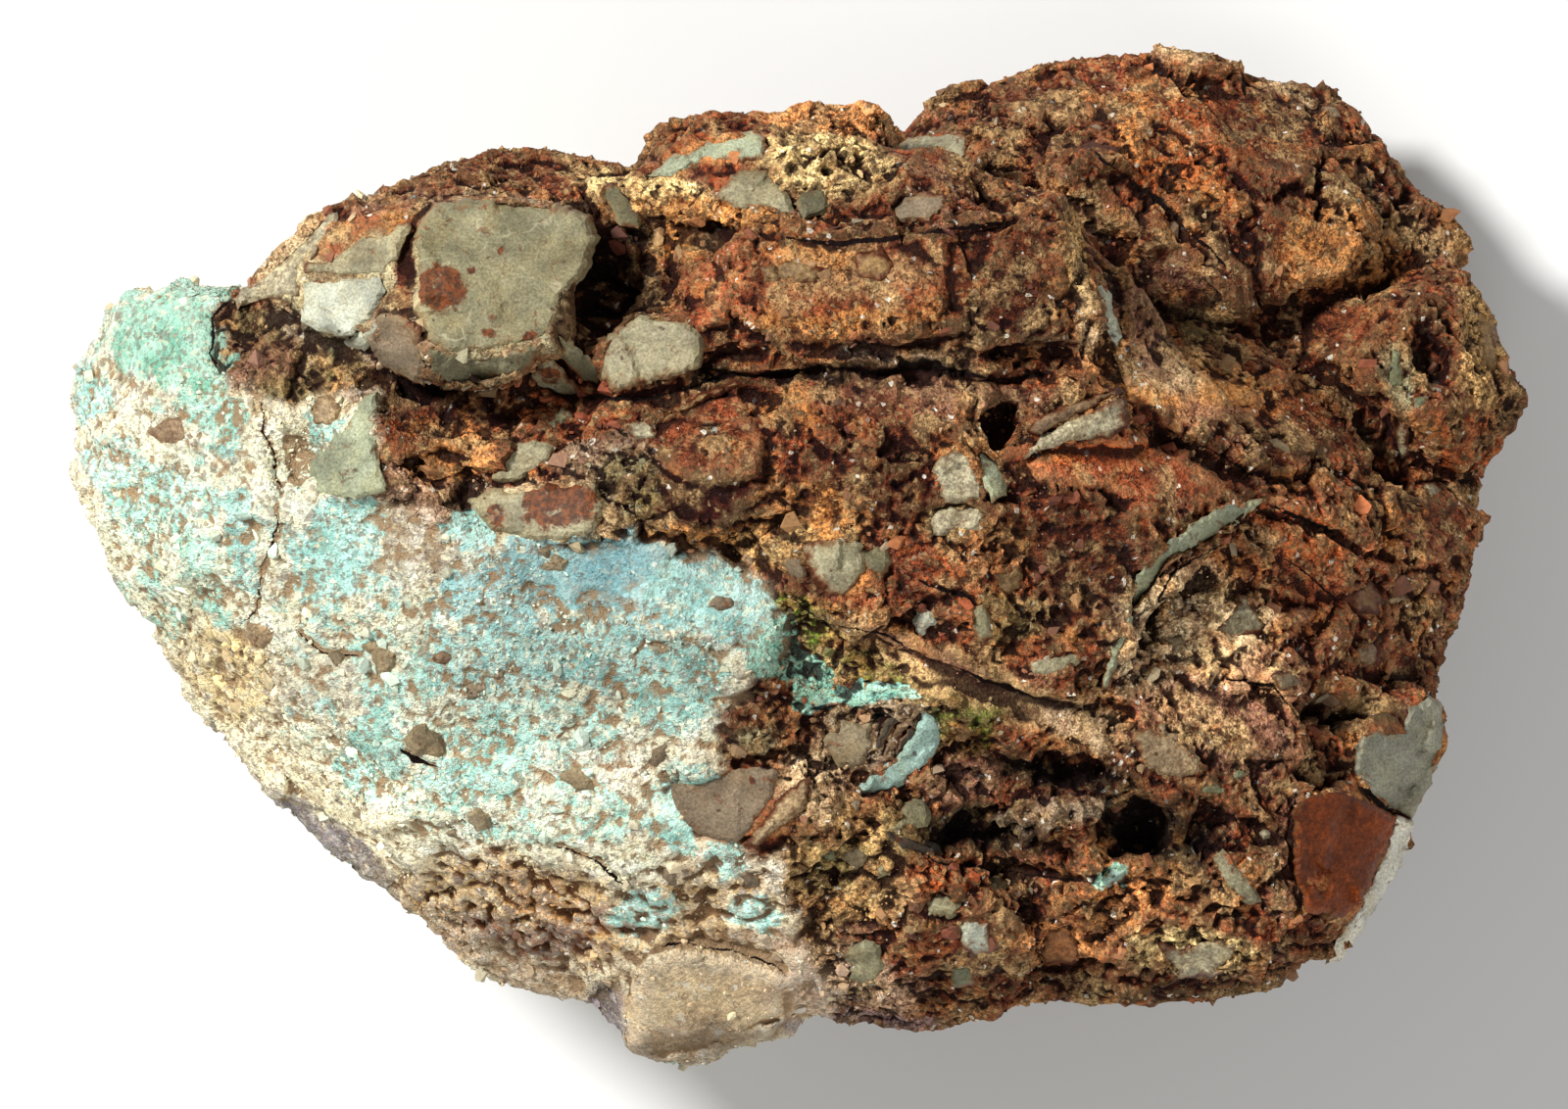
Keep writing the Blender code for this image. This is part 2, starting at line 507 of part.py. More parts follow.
def add_chip_where_ray_lands(shape, surface, draw, start, way, sizes):
    """Adds one angular piece, partly sunk, where the ray meets the surface."""
    size = draw.uniform(*sizes)
    half = (size, size * draw.uniform(*CHIP_WIDTH), size * draw.uniform(*CHIP_THICKNESS))
    turn = draw.uniform(0, 180)
    landed = surface.ray_cast(start * MM, way)[0]
    if landed:
        middle = landed / MM + way * size * RUBBLE_SUNK
        add_hull(shape, chip_corners(draw, middle, half, turn))


def fused_stone():
    """The body, its blocks and the rubble as one closed surface."""
    shape = bmesh.new()
    add_blocks(shape)
    add_rubble(shape)
    bmesh.ops.recalc_face_normals(shape, faces=shape.faces)
    stone = mesh_object(STONE_NAME, shape)
    fuse(stone)
    return stone


def add_lens(shape, hollow):
    """Adds the lumpy lens of one hollow to the shape."""
    lens = bmesh.ops.create_icosphere(shape, subdivisions=3, radius=1.0)["verts"]
    for vertex in lens:
        vertex.co *= 1.0 + LENS_LUMPS * noise.noise(vertex.co * LENS_LUMP_FREQUENCY + Vector(hollow["at"]))
    place = Matrix.Translation(Vector(hollow["at"]) * MM)
    turn = Euler((0, 0, math.radians(hollow["turn"]))).to_matrix().to_4x4()
    half = Matrix.Diagonal((*(Vector(hollow["half"]) * MM), 1.0))
    bmesh.ops.transform(shape, matrix=place @ turn @ half, verts=lens)


def carve_hollows(stone):
    """Cuts all the pockets and clefts from the stone at once."""
    shape = bmesh.new()
    for hollow in HOLLOWS.values():
        add_lens(shape, hollow)
    cutter = mesh_object("hollows", shape)
    fuse(cutter)
    cut = stone.modifiers.new("cut", "BOOLEAN")
    cut.operation = "DIFFERENCE"
    cut.object = cutter
    apply_modifiers(stone)
    bpy.data.objects.remove(cutter)
    fuse(stone)


def soften(stone, rounds):
    """Takes the steps of the fused grid off the surface."""
    shape = bmesh.new()
    shape.from_mesh(stone.data)
    for _ in range(rounds):
        bmesh.ops.smooth_vert(
            shape, verts=shape.verts, factor=SOFTENING, use_axis_x=True, use_axis_y=True, use_axis_z=True
        )
    shape.to_mesh(stone.data)
    shape.free()


def weather(stone):
    """Roughens the surface with layers of ridged noise along its normals."""
    shifts = []
    for vertex in stone.data.vertices:
        height = 0.0
        for layer in WEATHERING:
            place = vertex.co / (layer["wavelength"] * MM)
            value = noise.noise(place + Vector((layer["seed"],) * 3))
            height += layer["amplitude"] * (WEAR_LEVEL - WEAR_RIDGE * abs(value))
        shifts.append(vertex.normal * height * MM)
    for vertex, shift in zip(stone.data.vertices, shifts):
        vertex.co += shift


def wear_flat(stone, within=0.0):
    """Wears the underside down to the plane that the stone rests on."""
    for vertex in stone.data.vertices:
        if vertex.co.z < within * MM:
            vertex.co.z = 0.0


def thin_out(stone):
    """Brings the surface down to the triangles that its forms need."""
    stone.data.calc_loop_triangles()
    thin = stone.modifiers.new("thin", "DECIMATE")
    thin.ratio = MOST_TRIANGLES / len(stone.data.loop_triangles)
    apply_modifiers(stone)


def centre_on_origin(stone):
    """Puts the middle of the stone's box over the origin, with the resting plane at z = 0."""
    xs = [vertex.co.x for vertex in stone.data.vertices]
    ys = [vertex.co.y for vertex in stone.data.vertices]
    middle = Vector(((min(xs) + max(xs)) / 2, (min(ys) + max(ys)) / 2, 0))
    stone.data.transform(Matrix.Translation(-middle))
    print("moved to the origin by", [round(-part / MM, 3) for part in middle], "mm")


def rock_material():
    """Iron-stained rock, as a plain finish."""
    material = bpy.data.materials.new("iron_stained_rock")
    material.use_nodes = True
    surface = material.node_tree.nodes["Principled BSDF"]
    surface.inputs["Base Color"].default_value = (0.36, 0.23, 0.14, 1.0)
    surface.inputs["Roughness"].default_value = 0.85
    surface.inputs["Metallic"].default_value = 0.0
    return material


def main():
    for thing in list(bpy.data.objects):
        bpy.data.objects.remove(thing)
    stone = fused_stone()
    carve_hollows(stone)
    soften(stone, rounds=1)
    weather(stone)
    wear_flat(stone)
    thin_out(stone)
    wear_flat(stone, within=FLAT_WITHIN)
    centre_on_origin(stone)
    stone.data.materials.clear()
    stone.data.materials.append(rock_material())
    specimen = bpy.data.collections.new("turquoise_specimen")
    bpy.context.scene.collection.children.link(specimen)
    bpy.context.scene.collection.objects.unlink(stone)
    specimen.objects.link(stone)


main()
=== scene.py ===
import math

import bmesh
import bpy
import numpy as np
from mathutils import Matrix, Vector, geometry, noise


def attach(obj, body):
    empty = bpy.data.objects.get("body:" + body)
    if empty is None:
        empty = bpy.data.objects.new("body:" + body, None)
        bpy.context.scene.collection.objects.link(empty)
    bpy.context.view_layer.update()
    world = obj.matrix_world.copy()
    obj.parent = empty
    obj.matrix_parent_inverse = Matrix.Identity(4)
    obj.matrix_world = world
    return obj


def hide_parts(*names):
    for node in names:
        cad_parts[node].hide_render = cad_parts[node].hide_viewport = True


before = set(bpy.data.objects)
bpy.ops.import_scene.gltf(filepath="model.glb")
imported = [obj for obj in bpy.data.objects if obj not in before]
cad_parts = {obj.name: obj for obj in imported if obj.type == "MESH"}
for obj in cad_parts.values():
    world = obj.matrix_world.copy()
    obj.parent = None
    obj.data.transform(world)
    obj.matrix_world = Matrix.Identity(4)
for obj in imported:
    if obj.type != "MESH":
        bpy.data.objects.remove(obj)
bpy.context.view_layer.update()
mm = 0.001
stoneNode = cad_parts["turquoise_stone"]

# The showing face is laid out on a view frame of 1600 x 1132 points, looked down on from 850 mm.
view = {
    "width": 1600, "height": 1132,
    "middle": (806, 563),           # the point of the frame that lies over the aim
    "aim": (-0.97, -0.24),          # millimetres, in the stone's own frame
    "pointsPerMm": 13.5,            # on the plane of sharpest detail
    "plane": 50.0, "eye": 850.0,
}

# Colours, as seen on the screen.
paint = dict(
    cream=(240, 229, 188), white=(246, 242, 224), peach=(224, 195, 150), tan=(184, 156, 122),
    pinkTan=(204, 172, 144), greyTan=(156, 138, 114), lavender=(146, 134, 142), yellow=(224, 196, 134),
    ochre=(198, 134, 72), paleOchre=(212, 170, 108), orange=(188, 92, 42), apricot=(214, 142, 82),
    rust=(132, 64, 35), redBrown=(150, 78, 46), brown=(112, 58, 35), greyBrown=(140, 100, 78),
    umber=(80, 36, 21), maroon=(54, 20, 13), nearBlack=(28, 10, 8), olive=(96, 94, 50),
    darkOlive=(62, 70, 36), moss=(120, 116, 72), sage=(150, 152, 116), chert=(170, 162, 126),
    paleChert=(198, 190, 152), glass=(222, 224, 200), mossChert=(140, 134, 104), brownChert=(158, 138, 112),
    mint=(196, 230, 214), charcoal=(92, 84, 74), russet=(162, 78, 28), mossGreen=(88, 110, 36),
    paleSage=(190, 196, 162), greyGreen=(182, 180, 156), through=(174, 144, 98), clay=(180, 162, 128),
    # the crust of turquoise: plain, greener and bluer, each dark and light
    crustDeep=(122, 178, 170), crustLight=(184, 228, 216), greenDeep=(108, 184, 150),
    greenLight=(180, 230, 202), blueDeep=(108, 158, 166), blueLight=(142, 190, 194),
    # fine marks on the ground, and the painted shade of holes, hollows and cracks
    crazeLine=(118, 98, 82), freckle=(122, 110, 96), duskyGrain=(124, 106, 88), holeBrown=(92, 52, 28),
    paleHollowShade=(150, 122, 90), holeHollowShade=(84, 48, 26), crackBlack=(20, 10, 8),
)


def linear(shade):
    # screen colour 0..255 to scene-linear
    parts = [part / 255 for part in shade]
    return tuple(p / 12.92 if p <= 0.04045 else ((p + 0.055) / 1.055) ** 2.4 for p in parts)


tone = {name: np.array(linear(shade)) for name, shade in paint.items()}


def smoothStep(low, high, value):
    share = np.clip((value - low) / (high - low), 0.0, 1.0)
    return share * share * (3.0 - 2.0 * share)


def noiseField(points, size, seed):
    # smooth noise of the given grain in millimetres, about -0.6..0.6
    shifted = points / size + seed
    return np.array([noise.noise(place) for place in shifted.tolist()])


def turbulence(points, size, seed, octaves=3):
    total, weight, whole = 0.0, 1.0, 0.0
    for octave in range(octaves):
        total = total + weight * noiseField(points, size / 2 ** octave, seed + 7.3 * octave)
        whole += weight
        weight *= 0.55
    return total / whole


def ridges(points, size, seed):
    # sharp crests with rounded floors, 0..1
    return 1 - 2 * np.abs(noiseField(points, size, seed))


def framePoints(points):
    # where each place of the stone falls on the view frame
    reach = view["pointsPerMm"] * (view["eye"] - view["plane"]) / (view["eye"] - points[:, 2])
    across = view["middle"][0] + (points[:, 0] - view["aim"][0]) * reach
    down = view["middle"][1] - (points[:, 1] - view["aim"][1]) * reach
    return np.stack([across, down], 1)


def stonePoints(flat, heights):
    # the other way round: the place of the stone at each frame point, for its height
    reach = view["pointsPerMm"] * (view["eye"] - view["plane"]) / (view["eye"] - heights)
    across = view["aim"][0] + (flat[:, 0] - view["middle"][0]) / reach
    along = view["aim"][1] - (flat[:, 1] - view["middle"][1]) / reach
    return np.stack([across, along, heights], 1)


def outlineDistance(flat, outline):
    # distance to a closed outline, below zero inside it
    best = np.full(len(flat), 1e9)
    inside = np.zeros(len(flat), bool)
    corners = np.array(outline, float)
    for start, end in zip(corners, np.roll(corners, -1, 0)):
        run = end - start
        along = np.clip(((flat - start) @ run) / max(run @ run, 1e-9), 0, 1)
        best = np.minimum(best, np.linalg.norm(flat - (start + along[:, None] * run), axis=1))
        if start[1] != end[1]:
            crosses = (start[1] > flat[:, 1]) != (end[1] > flat[:, 1])
            where = (end[0] - start[0]) * (flat[:, 1] - start[1]) / (end[1] - start[1]) + start[0]
            inside ^= crosses & (flat[:, 0] < where)
    return np.where(inside, -best, best)


def lineDistance(flat, points):
    # distance to an open line, how far along it the nearest place is (0..1), and the side (-1, 1)
    best, where, side = np.full(len(flat), 1e9), np.zeros(len(flat)), np.ones(len(flat))
    stops = np.array(points, float)
    for number, (start, end) in enumerate(zip(stops[:-1], stops[1:])):
        run = end - start
        along = np.clip(((flat - start) @ run) / max(run @ run, 1e-9), 0, 1)
        away = flat - (start + along[:, None] * run)
        far = np.linalg.norm(away, axis=1)
        nearer = far < best
        best = np.where(nearer, far, best)
        where = np.where(nearer, (number + along) / (len(stops) - 1), where)
        turned = np.sign(run[0] * away[:, 1] - run[1] * away[:, 0])
        side = np.where(nearer, turned, side)
    return best, where, side


def lineTaper(along):
    return smoothStep(0, 0.12, along) * smoothStep(1, 0.88, along)


def applyModifiers(made):
    graph = bpy.context.evaluated_depsgraph_get()
    result = bpy.data.meshes.new_from_object(made.evaluated_get(graph))
    made.modifiers.clear()
    old = made.data
    made.data = result
    bpy.data.meshes.remove(old)


def places(mesh):
    flat = np.zeros(len(mesh.vertices) * 3, np.float32)
    mesh.vertices.foreach_get("co", flat)
    return flat.reshape(-1, 3).astype(float) / mm


def setPlaces(mesh, points):
    mesh.vertices.foreach_set("co", (points * mm).astype(np.float32).ravel())
    mesh.update()


def normals(mesh):
    flat = np.zeros(len(mesh.vertices) * 3, np.float32)
    mesh.vertex_normals.foreach_get("vector", flat)
    return flat.reshape(-1, 3).astype(float)


def edgeEnds(mesh):
    ends = np.zeros(len(mesh.edges) * 2, np.int32)
    mesh.edges.foreach_get("vertices", ends)
    return ends.reshape(-1, 2)


def triangles(mesh):
    mesh.calc_loop_triangles()
    corners = np.zeros(len(mesh.loop_triangles) * 3, np.int32)
    mesh.loop_triangles.foreach_get("vertices", corners)
    return corners.reshape(-1, 3)


def smoothed(values, ends, rounds, factor=0.5):
    count = np.bincount(ends.ravel(), minlength=len(values))[:, None]
    values = values.copy()
    for _ in range(rounds):
        total = np.stack([
            np.bincount(ends[:, 0], values[ends[:, 1], axis], len(values))
            + np.bincount(ends[:, 1], values[ends[:, 0], axis], len(values))
            for axis in range(values.shape[1])
        ], 1)
        values += factor * (total / np.maximum(count, 1) - values)
    return values


def setNumbers(mesh, name, numbers):
    layer = mesh.attributes.new(name, "FLOAT", "POINT")
    layer.data.foreach_set("value", numbers.astype(np.float32))


def setColours(mesh, name, colours):
    layer = mesh.attributes.new(name, "FLOAT_COLOR", "POINT")
    rgba = np.ones((len(colours), 4), np.float32)
    rgba[:, :3] = colours
    layer.data.foreach_set("color", rgba.ravel())


def meshObject(name, points, corners):
    mesh = bpy.data.meshes.new(name)
    mesh.vertices.add(len(points))
    mesh.loops.add(corners.size)
    mesh.polygons.add(len(corners))
    mesh.polygons.foreach_set("loop_start", np.arange(0, corners.size, 3, dtype=np.int32))
    mesh.loops.foreach_set("vertex_index", corners.astype(np.int32).ravel())
    mesh.polygons.foreach_set("use_smooth", np.zeros(len(corners), bool))
    mesh.update(calc_edges=True)
    setPlaces(mesh, points)
    made = bpy.data.objects.new(name, mesh)
    bpy.context.scene.collection.objects.link(made)
    return made


def onStone(made, material):
    made.data.materials.clear()
    made.data.materials.append(material)
    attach(made, "root")
    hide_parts("turquoise_stone")


# Chert fragments that stand out of the stone: colour, rise above the skin in millimetres, slant in
# millimetres per 100 points to the right and down the view, how far rust has crept over it (0..1),
# and its outline on the view frame.
fragments = dict(
    # the big chert mass, upper left
    bigFacet=("chert", 0.6, (0, 0), 0.06, [(426, 228), (444, 209), (480, 203), (530, 205), (575, 211),
        (600, 222), (606, 243), (594, 278), (577, 298), (566, 330), (554, 348), (512, 355), (472, 361),
        (440, 350), (426, 318), (430, 280), (424, 252)]),
    glassFacet=("glass", 0.6, (0, 0.8), 0.0, [(306, 282), (345, 285), (388, 285), (394, 300), (374, 332),
        (352, 344), (334, 340), (307, 330)]),
    glassUpper=("paleChert", 0.5, (0.5, -0.6), 0.1, [(352, 254), (369, 240), (393, 236), (414, 226),
        (419, 236), (405, 262), (394, 282), (345, 282), (308, 278), (314, 268), (334, 266)]),
    glassLower=("glass", 0.4, (1.2, -1.2), 0.0, [(338, 345), (356, 345), (376, 333), (390, 322), (392, 338),
        (372, 356), (352, 354)]),
    massLower=("brownChert", 0.5, (-0.6, -1.6), 0.12, [(374, 345), (388, 321), (414, 325), (428, 334),
        (432, 380), (430, 392), (407, 382), (383, 364)]),
    massStep=("mossChert", 0.5, (0, -2.2), 0.12, [(438, 354), (472, 366), (512, 360), (552, 352), (546, 374),
        (520, 386), (494, 392), (452, 396), (438, 380)]),
    ridgeCream=("cream", 0.6, (-1.2, 0), 0.05, [(236, 304), (265, 280), (310, 242), (334, 214), (346, 218),
        (330, 246), (308, 274), (303, 300), (262, 306), (242, 314)]),
    besidePocket=("mossChert", 0.6, (1.0, 0.5), 0.35, [(608, 197), (625, 184), (646, 198), (656, 212),
        (650, 234), (633, 230)]),
    secondChert=("paleChert", 1.0, (0, -0.6), 0.06, [(615, 353), (639, 324), (660, 320), (705, 332),
        (719, 350), (715, 370), (698, 381), (625, 400), (612, 381)]),
    secondLeft=("chert", 0.6, (0.6, -0.5), 0.12, [(563, 341), (573, 336), (587, 353), (612, 374), (616, 396),
        (594, 390), (570, 362)]),
    pinkSpotted=("paleChert", 0.7, (-0.5, 0), 0.15, [(542, 384), (558, 357), (570, 374), (592, 396),
        (597, 406), (577, 408), (549, 396)]),
    leftWedge=("paleSage", 0.6, (0.8, 0), 0.02, [(317, 474), (324, 461), (348, 436), (372, 404), (383, 402),
        (381, 443), (390, 485), (392, 500), (359, 508), (319, 509)]),
    leftRound=("peach", 0.3, (0, 0), 0.1, [(314, 412), (332, 402), (348, 410), (350, 428), (336, 438),
        (318, 432)]),
    leftOval=("tan", 0.4, (0, 0), 0.05, [(148, 438), (167, 426), (190, 427), (192, 446), (180, 458),
        (158, 454)]),
    leftLong=("greyTan", 0.4, (0, 0), 0.0, [(113, 358), (124, 362), (131, 384), (127, 400), (117, 392)]),
    # above: the top ledge
    topSlab=("paleSage", 0.7, (0, -0.6), 0.08, [(662, 180), (685, 159), (727, 142), (772, 131), (783, 148),
        (780, 164), (720, 164), (688, 178)]),
    topGrey=("paleChert", 0.8, (-0.4, 0.4), 0.08, [(730, 201), (752, 173), (786, 173), (810, 208), (813, 225),
        (789, 215), (747, 212)]),
    topRound=("mossChert", 0.7, (0, 0), 0.1, [(817, 197), (834, 190), (848, 197), (844, 218), (819, 225),
        (811, 208)]),
    topRight=("brownChert", 0.5, (0, 0), 0.15, [(907, 211), (917, 197), (962, 194), (969, 211), (952, 225),
        (914, 229)]),
    topPale=("paleChert", 0.8, (0, 0.5), 0.04, [(907, 156), (928, 139), (983, 137), (983, 158), (952, 163),
        (938, 173), (910, 171)]),
    # the plates and the ground under them
    finger=("cream", 1.5, (0.4, -1.2), 0.2, [(1043, 470), (1062, 444), (1100, 426), (1146, 405), (1153, 436),
        (1132, 447), (1096, 449), (1062, 460)]),
    notchPale=("cream", 0.8, (-0.8, 0.5), 0.12, [(953, 472), (975, 456), (992, 462), (1000, 490), (1008, 512),
        (967, 512), (953, 492)]),
    notchLow=("cream", 0.5, (0, 0.8), 0.12, [(945, 526), (967, 515), (1001, 515), (1006, 526), (995, 545),
        (950, 548)]),
    cliffSliver=("glass", 0.6, (0, 0), 0.0, [(1119, 284), (1128, 290), (1138, 312), (1145, 346), (1138, 354),
        (1128, 330)]),
    # the middle
    middleTriangle=("chert", 0.6, (0.5, 0), 0.2, [(554, 431), (575, 414), (588, 426), (564, 439)]),
    middlePale=("paleChert", 0.8, (0.4, -0.5), 0.06, [(497, 492), (508, 471), (525, 454), (549, 450),
        (567, 457), (563, 471), (542, 485), (525, 495)]),
    middleCream=("cream", 0.5, (0, 0), 0.3, [(638, 430), (650, 426), (665, 426), (668, 447), (646, 452)]),
    spotted=("paleChert", 0.9, (0, 0), 0.06, [(478, 514), (500, 499), (550, 495), (606, 492), (614, 520),
        (606, 545), (552, 552), (500, 542)]),
    blockRidge=("paleOchre", 1.4, (0.6, -1.0), 0.5, [(672, 424), (712, 402), (752, 386), (756, 394),
        (716, 410), (676, 431)]),
    centreChert=("paleChert", 0.8, (0, 0), 0.2, [(813, 556), (844, 551), (878, 555), (887, 573), (872, 604),
        (852, 610), (836, 608), (827, 582)]),
    centreGrey=("brownChert", 0.7, (-0.6, 0), 0.1, [(796, 573), (805, 565), (817, 568), (823, 584),
        (819, 598), (802, 588)]),
    centreLow=("mossChert", 0.5, (0.4, 0), 0.35, [(872, 560), (900, 556), (914, 572), (898, 590),
        (886, 584)]),
    chipOne=("glass", 0.9, (-0.8, 0), 0.0, [(928, 632), (942, 618), (958, 631), (940, 654)]),
    chipTwo=("brownChert", 0.7, (0.8, 0), 0.1, [(949, 619), (973, 626), (967, 646), (957, 648), (961, 630)]),
    chipThree=("chert", 0.7, (0, 0.6), 0.12, [(990, 624), (1004, 612), (1009, 624), (1018, 649), (1001, 660),
        (992, 643)]),
    chipFour=("paleChert", 0.6, (0, 0), 0.12, [(1048, 677), (1074, 667), (1104, 665), (1102, 677),
        (1076, 691), (1057, 689)]),
    # the slab's pale broken edge
    slabEdge=("paleSage", 1.0, (0.5, 0.9), 0.05, [(1287, 511), (1268, 532), (1244, 548), (1218, 562),
        (1196, 572), (1178, 602), (1158, 626), (1150, 616), (1160, 590), (1180, 566), (1196, 552),
        (1222, 532), (1246, 518)]),
    slabEdgeLow=("paleSage", 0.5, (0, 0), 0.1, [(1150, 628), (1158, 630), (1146, 664), (1130, 702),
        (1124, 702), (1134, 662)]),
    paleTriangle=("cream", 0.7, (0, -0.4), 0.25, [(1236, 644), (1256, 624), (1264, 606), (1275, 611),
        (1297, 640), (1288, 646), (1262, 652)]),
    paleFlake=("peach", 0.5, (0, 0), 0.15, [(1150, 748), (1176, 744), (1200, 750), (1224, 772), (1228, 789),
        (1200, 798), (1174, 786)]),
    greenChip=("sage", 0.5, (0, 0), 0.1, [(1221, 800), (1240, 798), (1263, 806), (1258, 816), (1226, 811)]),
    greenChipTwo=("sage", 0.5, (0, 0), 0.1, [(1254, 786), (1268, 784), (1275, 792), (1258, 796)]),
    # the granular, pale slope
    clastBelow=("clay", 0.5, (0, 0), 0.0, [(365, 656), (390, 653), (404, 668), (401, 692), (384, 690),
        (376, 670)]),
    clastRight=("clay", 0.7, (0, 0), 0.0, [(410, 756), (428, 736), (450, 752), (457, 768), (447, 777),
        (422, 771)]),
    clastDark=("greyTan", 0.6, (0, 0), 0.0, [(469, 706), (493, 691), (501, 702), (478, 718)]),
    clastDarkTwo=("greyTan", 0.5, (0, 0), 0.0, [(498, 690), (513, 681), (518, 692), (504, 701)]),
    clastPale=("peach", 0.4, (0, 0), 0.0, [(246, 646), (252, 634), (268, 634), (280, 650), (272, 666),
        (252, 664)]),
    clastBandOne=("brownChert", 0.5, (0, 0), 0.0, [(721, 618), (730, 607), (748, 610), (750, 620),
        (736, 626)]),
    clastBandTwo=("charcoal", 0.4, (0, 0), 0.0, [(717, 636), (724, 630), (732, 636), (726, 642)]),
    clastLowOne=("greyTan", 0.5, (0, 0), 0.0, [(658, 781), (666, 764), (684, 756), (680, 776), (670, 784)]),
    clastLowTwo=("clay", 0.5, (0, 0), 0.0, [(475, 832), (486, 824), (502, 832), (502, 848), (484, 852)]),
    clastLowThree=("clay", 0.4, (0, 0), 0.0, [(449, 848), (464, 842), (472, 852), (456, 859)]),
    clastFootOne=("brownChert", 0.5, (0, 0), 0.05, [(673, 888), (684, 883), (694, 892), (692, 905),
        (680, 906)]),
    clastFootTwo=("brownChert", 0.5, (0, 0), 0.05, [(750, 890), (762, 884), (780, 898), (776, 910),
        (760, 906)]),
    clastBand=("tan", 0.4, (0, 0), 0.0, [(438, 668), (452, 660), (466, 668), (456, 682), (440, 680)]),
    # lower middle
    smoothClast=("brownChert", 0.8, (0.2, 0.5), 0.0, [(685, 801), (717, 795), (742, 786), (775, 783),
        (794, 788), (790, 812), (780, 832), (756, 858), (730, 860), (698, 843), (688, 822)]),
    smoothWedge=("peach", 0.6, (-0.4, 0), 0.15, [(786, 828), (802, 806), (826, 792), (828, 824), (800, 846),
        (772, 866), (758, 862)]),
    whiteClast=("clay", 0.6, (-0.3, 0.3), 0.0, [(840, 756), (858, 736), (890, 738), (892, 762), (880, 784),
        (856, 782)]),
    stripeOne=("charcoal", 0.5, (0, 0), 0.2, [(890, 760), (904, 736), (926, 724), (910, 746), (896, 770)]),
    stripeTwo=("tan", 0.9, (0, 0), 0.1, [(897, 772), (912, 746), (934, 722), (940, 724), (920, 750),
        (903, 778)]),
    stripeThree=("charcoal", 0.5, (0, 0), 0.2, [(903, 778), (922, 752), (942, 726), (946, 732), (930, 758),
        (910, 782)]),
    crescent=("mint", 1.0, (0.2, 0.2), 0.0, [(944, 722), (958, 730), (963, 748), (957, 768), (936, 792),
        (908, 810), (884, 814), (874, 806), (898, 786), (918, 770), (932, 750), (939, 734)]),
    greyWedge=("chert", 0.6, (0, 0.4), 0.06, [(942, 806), (950, 826), (946, 843), (910, 848), (921, 822)]),
    greyLow=("charcoal", 0.5, (0, 0), 0.15, [(904, 849), (930, 850), (958, 864), (962, 873), (942, 877),
        (914, 868)]),
    greySmall=("sage", 0.4, (0, 0), 0.2, [(838, 868), (852, 864), (856, 880), (842, 888)]),
    greySmallTwo=("brownChert", 0.4, (0, 0), 0.2, [(863, 818), (878, 813), (885, 824), (872, 832)]),
    turquoiseBit=("mint", 0.6, (0, 0), 0.1, [(1120, 902), (1134, 889), (1155, 881), (1154, 891),
        (1130, 908)]),
    creamBit=("cream", 0.5, (0, 0), 0.1, [(1042, 906), (1056, 906), (1058, 916), (1044, 916)]),
    pebbleOne=("glass", 0.6, (0, 0), 0.1, [(975, 948), (992, 940), (1008, 940), (1015, 972), (989, 977)]),
    pebbleTwo=("chert", 0.8, (0.6, 0), 0.03, [(856, 980), (866, 964), (884, 960), (900, 966), (905, 989),
        (892, 1006), (864, 1004)]),
    pebbleThree=("sage", 0.6, (0, 0), 0.15, [(971, 986), (992, 982), (996, 1006), (972, 1008)]),
    pebbleOrange=("apricot", 0.5, (0, 0), 0.4, [(1058, 977), (1067, 949), (1096, 938), (1104, 973),
        (1096, 985), (1067, 986)]),
    pebbleSmall=("greyBrown", 0.5, (0, 0), 0.2, [(921, 918), (944, 922), (940, 935), (926, 932)]),
    creamCluster=("cream", 0.4, (0, 0), 0.3, [(1178, 962), (1206, 966), (1238, 960), (1264, 962), (1262, 982),
        (1238, 1000), (1202, 998), (1186, 980)]),
    lowPale=("paleChert", 0.6, (0, 0.4), 0.15, [(1238, 874), (1250, 868), (1276, 894), (1290, 922),
        (1276, 925), (1254, 908)]),
    lowPaleTwo=("cream", 0.5, (0, 0), 0.2, [(1281, 848), (1292, 842), (1301, 852), (1290, 862)]),
    throughOne=("through", 0.6, (0, 0), 0.3, [(1012, 582), (1040, 576), (1051, 593), (1029, 612),
        (1012, 598)]),
    throughTwo=("through", 0.6, (0.4, 0), 0.35, [(775, 272), (806, 260), (844, 274), (834, 288), (782, 290)]),
    throughThree=("paleOchre", 0.5, (0, 0.4), 0.4, [(866, 256), (902, 250), (918, 270), (900, 292),
        (872, 284)]),
    bandTop=("clay", 0.6, (0, 0), 0.0, [(545, 575), (566, 566), (584, 572), (574, 586), (552, 588)]),
    bandTopTwo=("greyTan", 0.5, (0, 0), 0.0, [(540, 562), (552, 556), (572, 566), (560, 572)]),
    clastMiddle=("clay", 0.5, (0, 0), 0.0, [(330, 666), (346, 660), (356, 674), (340, 682)]),
    clastUnder=("clay", 0.5, (0, 0), 0.0, [(560, 790), (584, 780), (606, 792), (612, 812), (584, 808)]),
    pebbleFour=("chert", 0.6, (0, 0), 0.05, [(944, 918), (966, 914), (984, 922), (974, 938), (948, 936)]),
    pebbleFive=("clay", 0.6, (0, 0), 0.05, [(858, 870), (872, 862), (888, 868), (884, 888), (866, 890)]),
    pebbleSix=("chert", 0.5, (0, 0), 0.05, [(892, 876), (904, 870), (908, 894), (896, 896)]),
    pebbleSeven=("mossChert", 0.6, (0, 0), 0.1, [(1004, 900), (1022, 892), (1030, 906), (1014, 914)]),
    rightTan=("tan", 0.6, (0, 0), 0.25, [(1380, 664), (1400, 658), (1412, 676), (1394, 682)]),
    rightClay=("clay", 0.5, (0, 0.4), 0.2, [(1298, 690), (1320, 684), (1330, 700), (1308, 706)]),
    belowClay=("clay", 0.5, (0, 0), 0.15, [(1186, 650), (1206, 644), (1216, 660), (1196, 668)]),
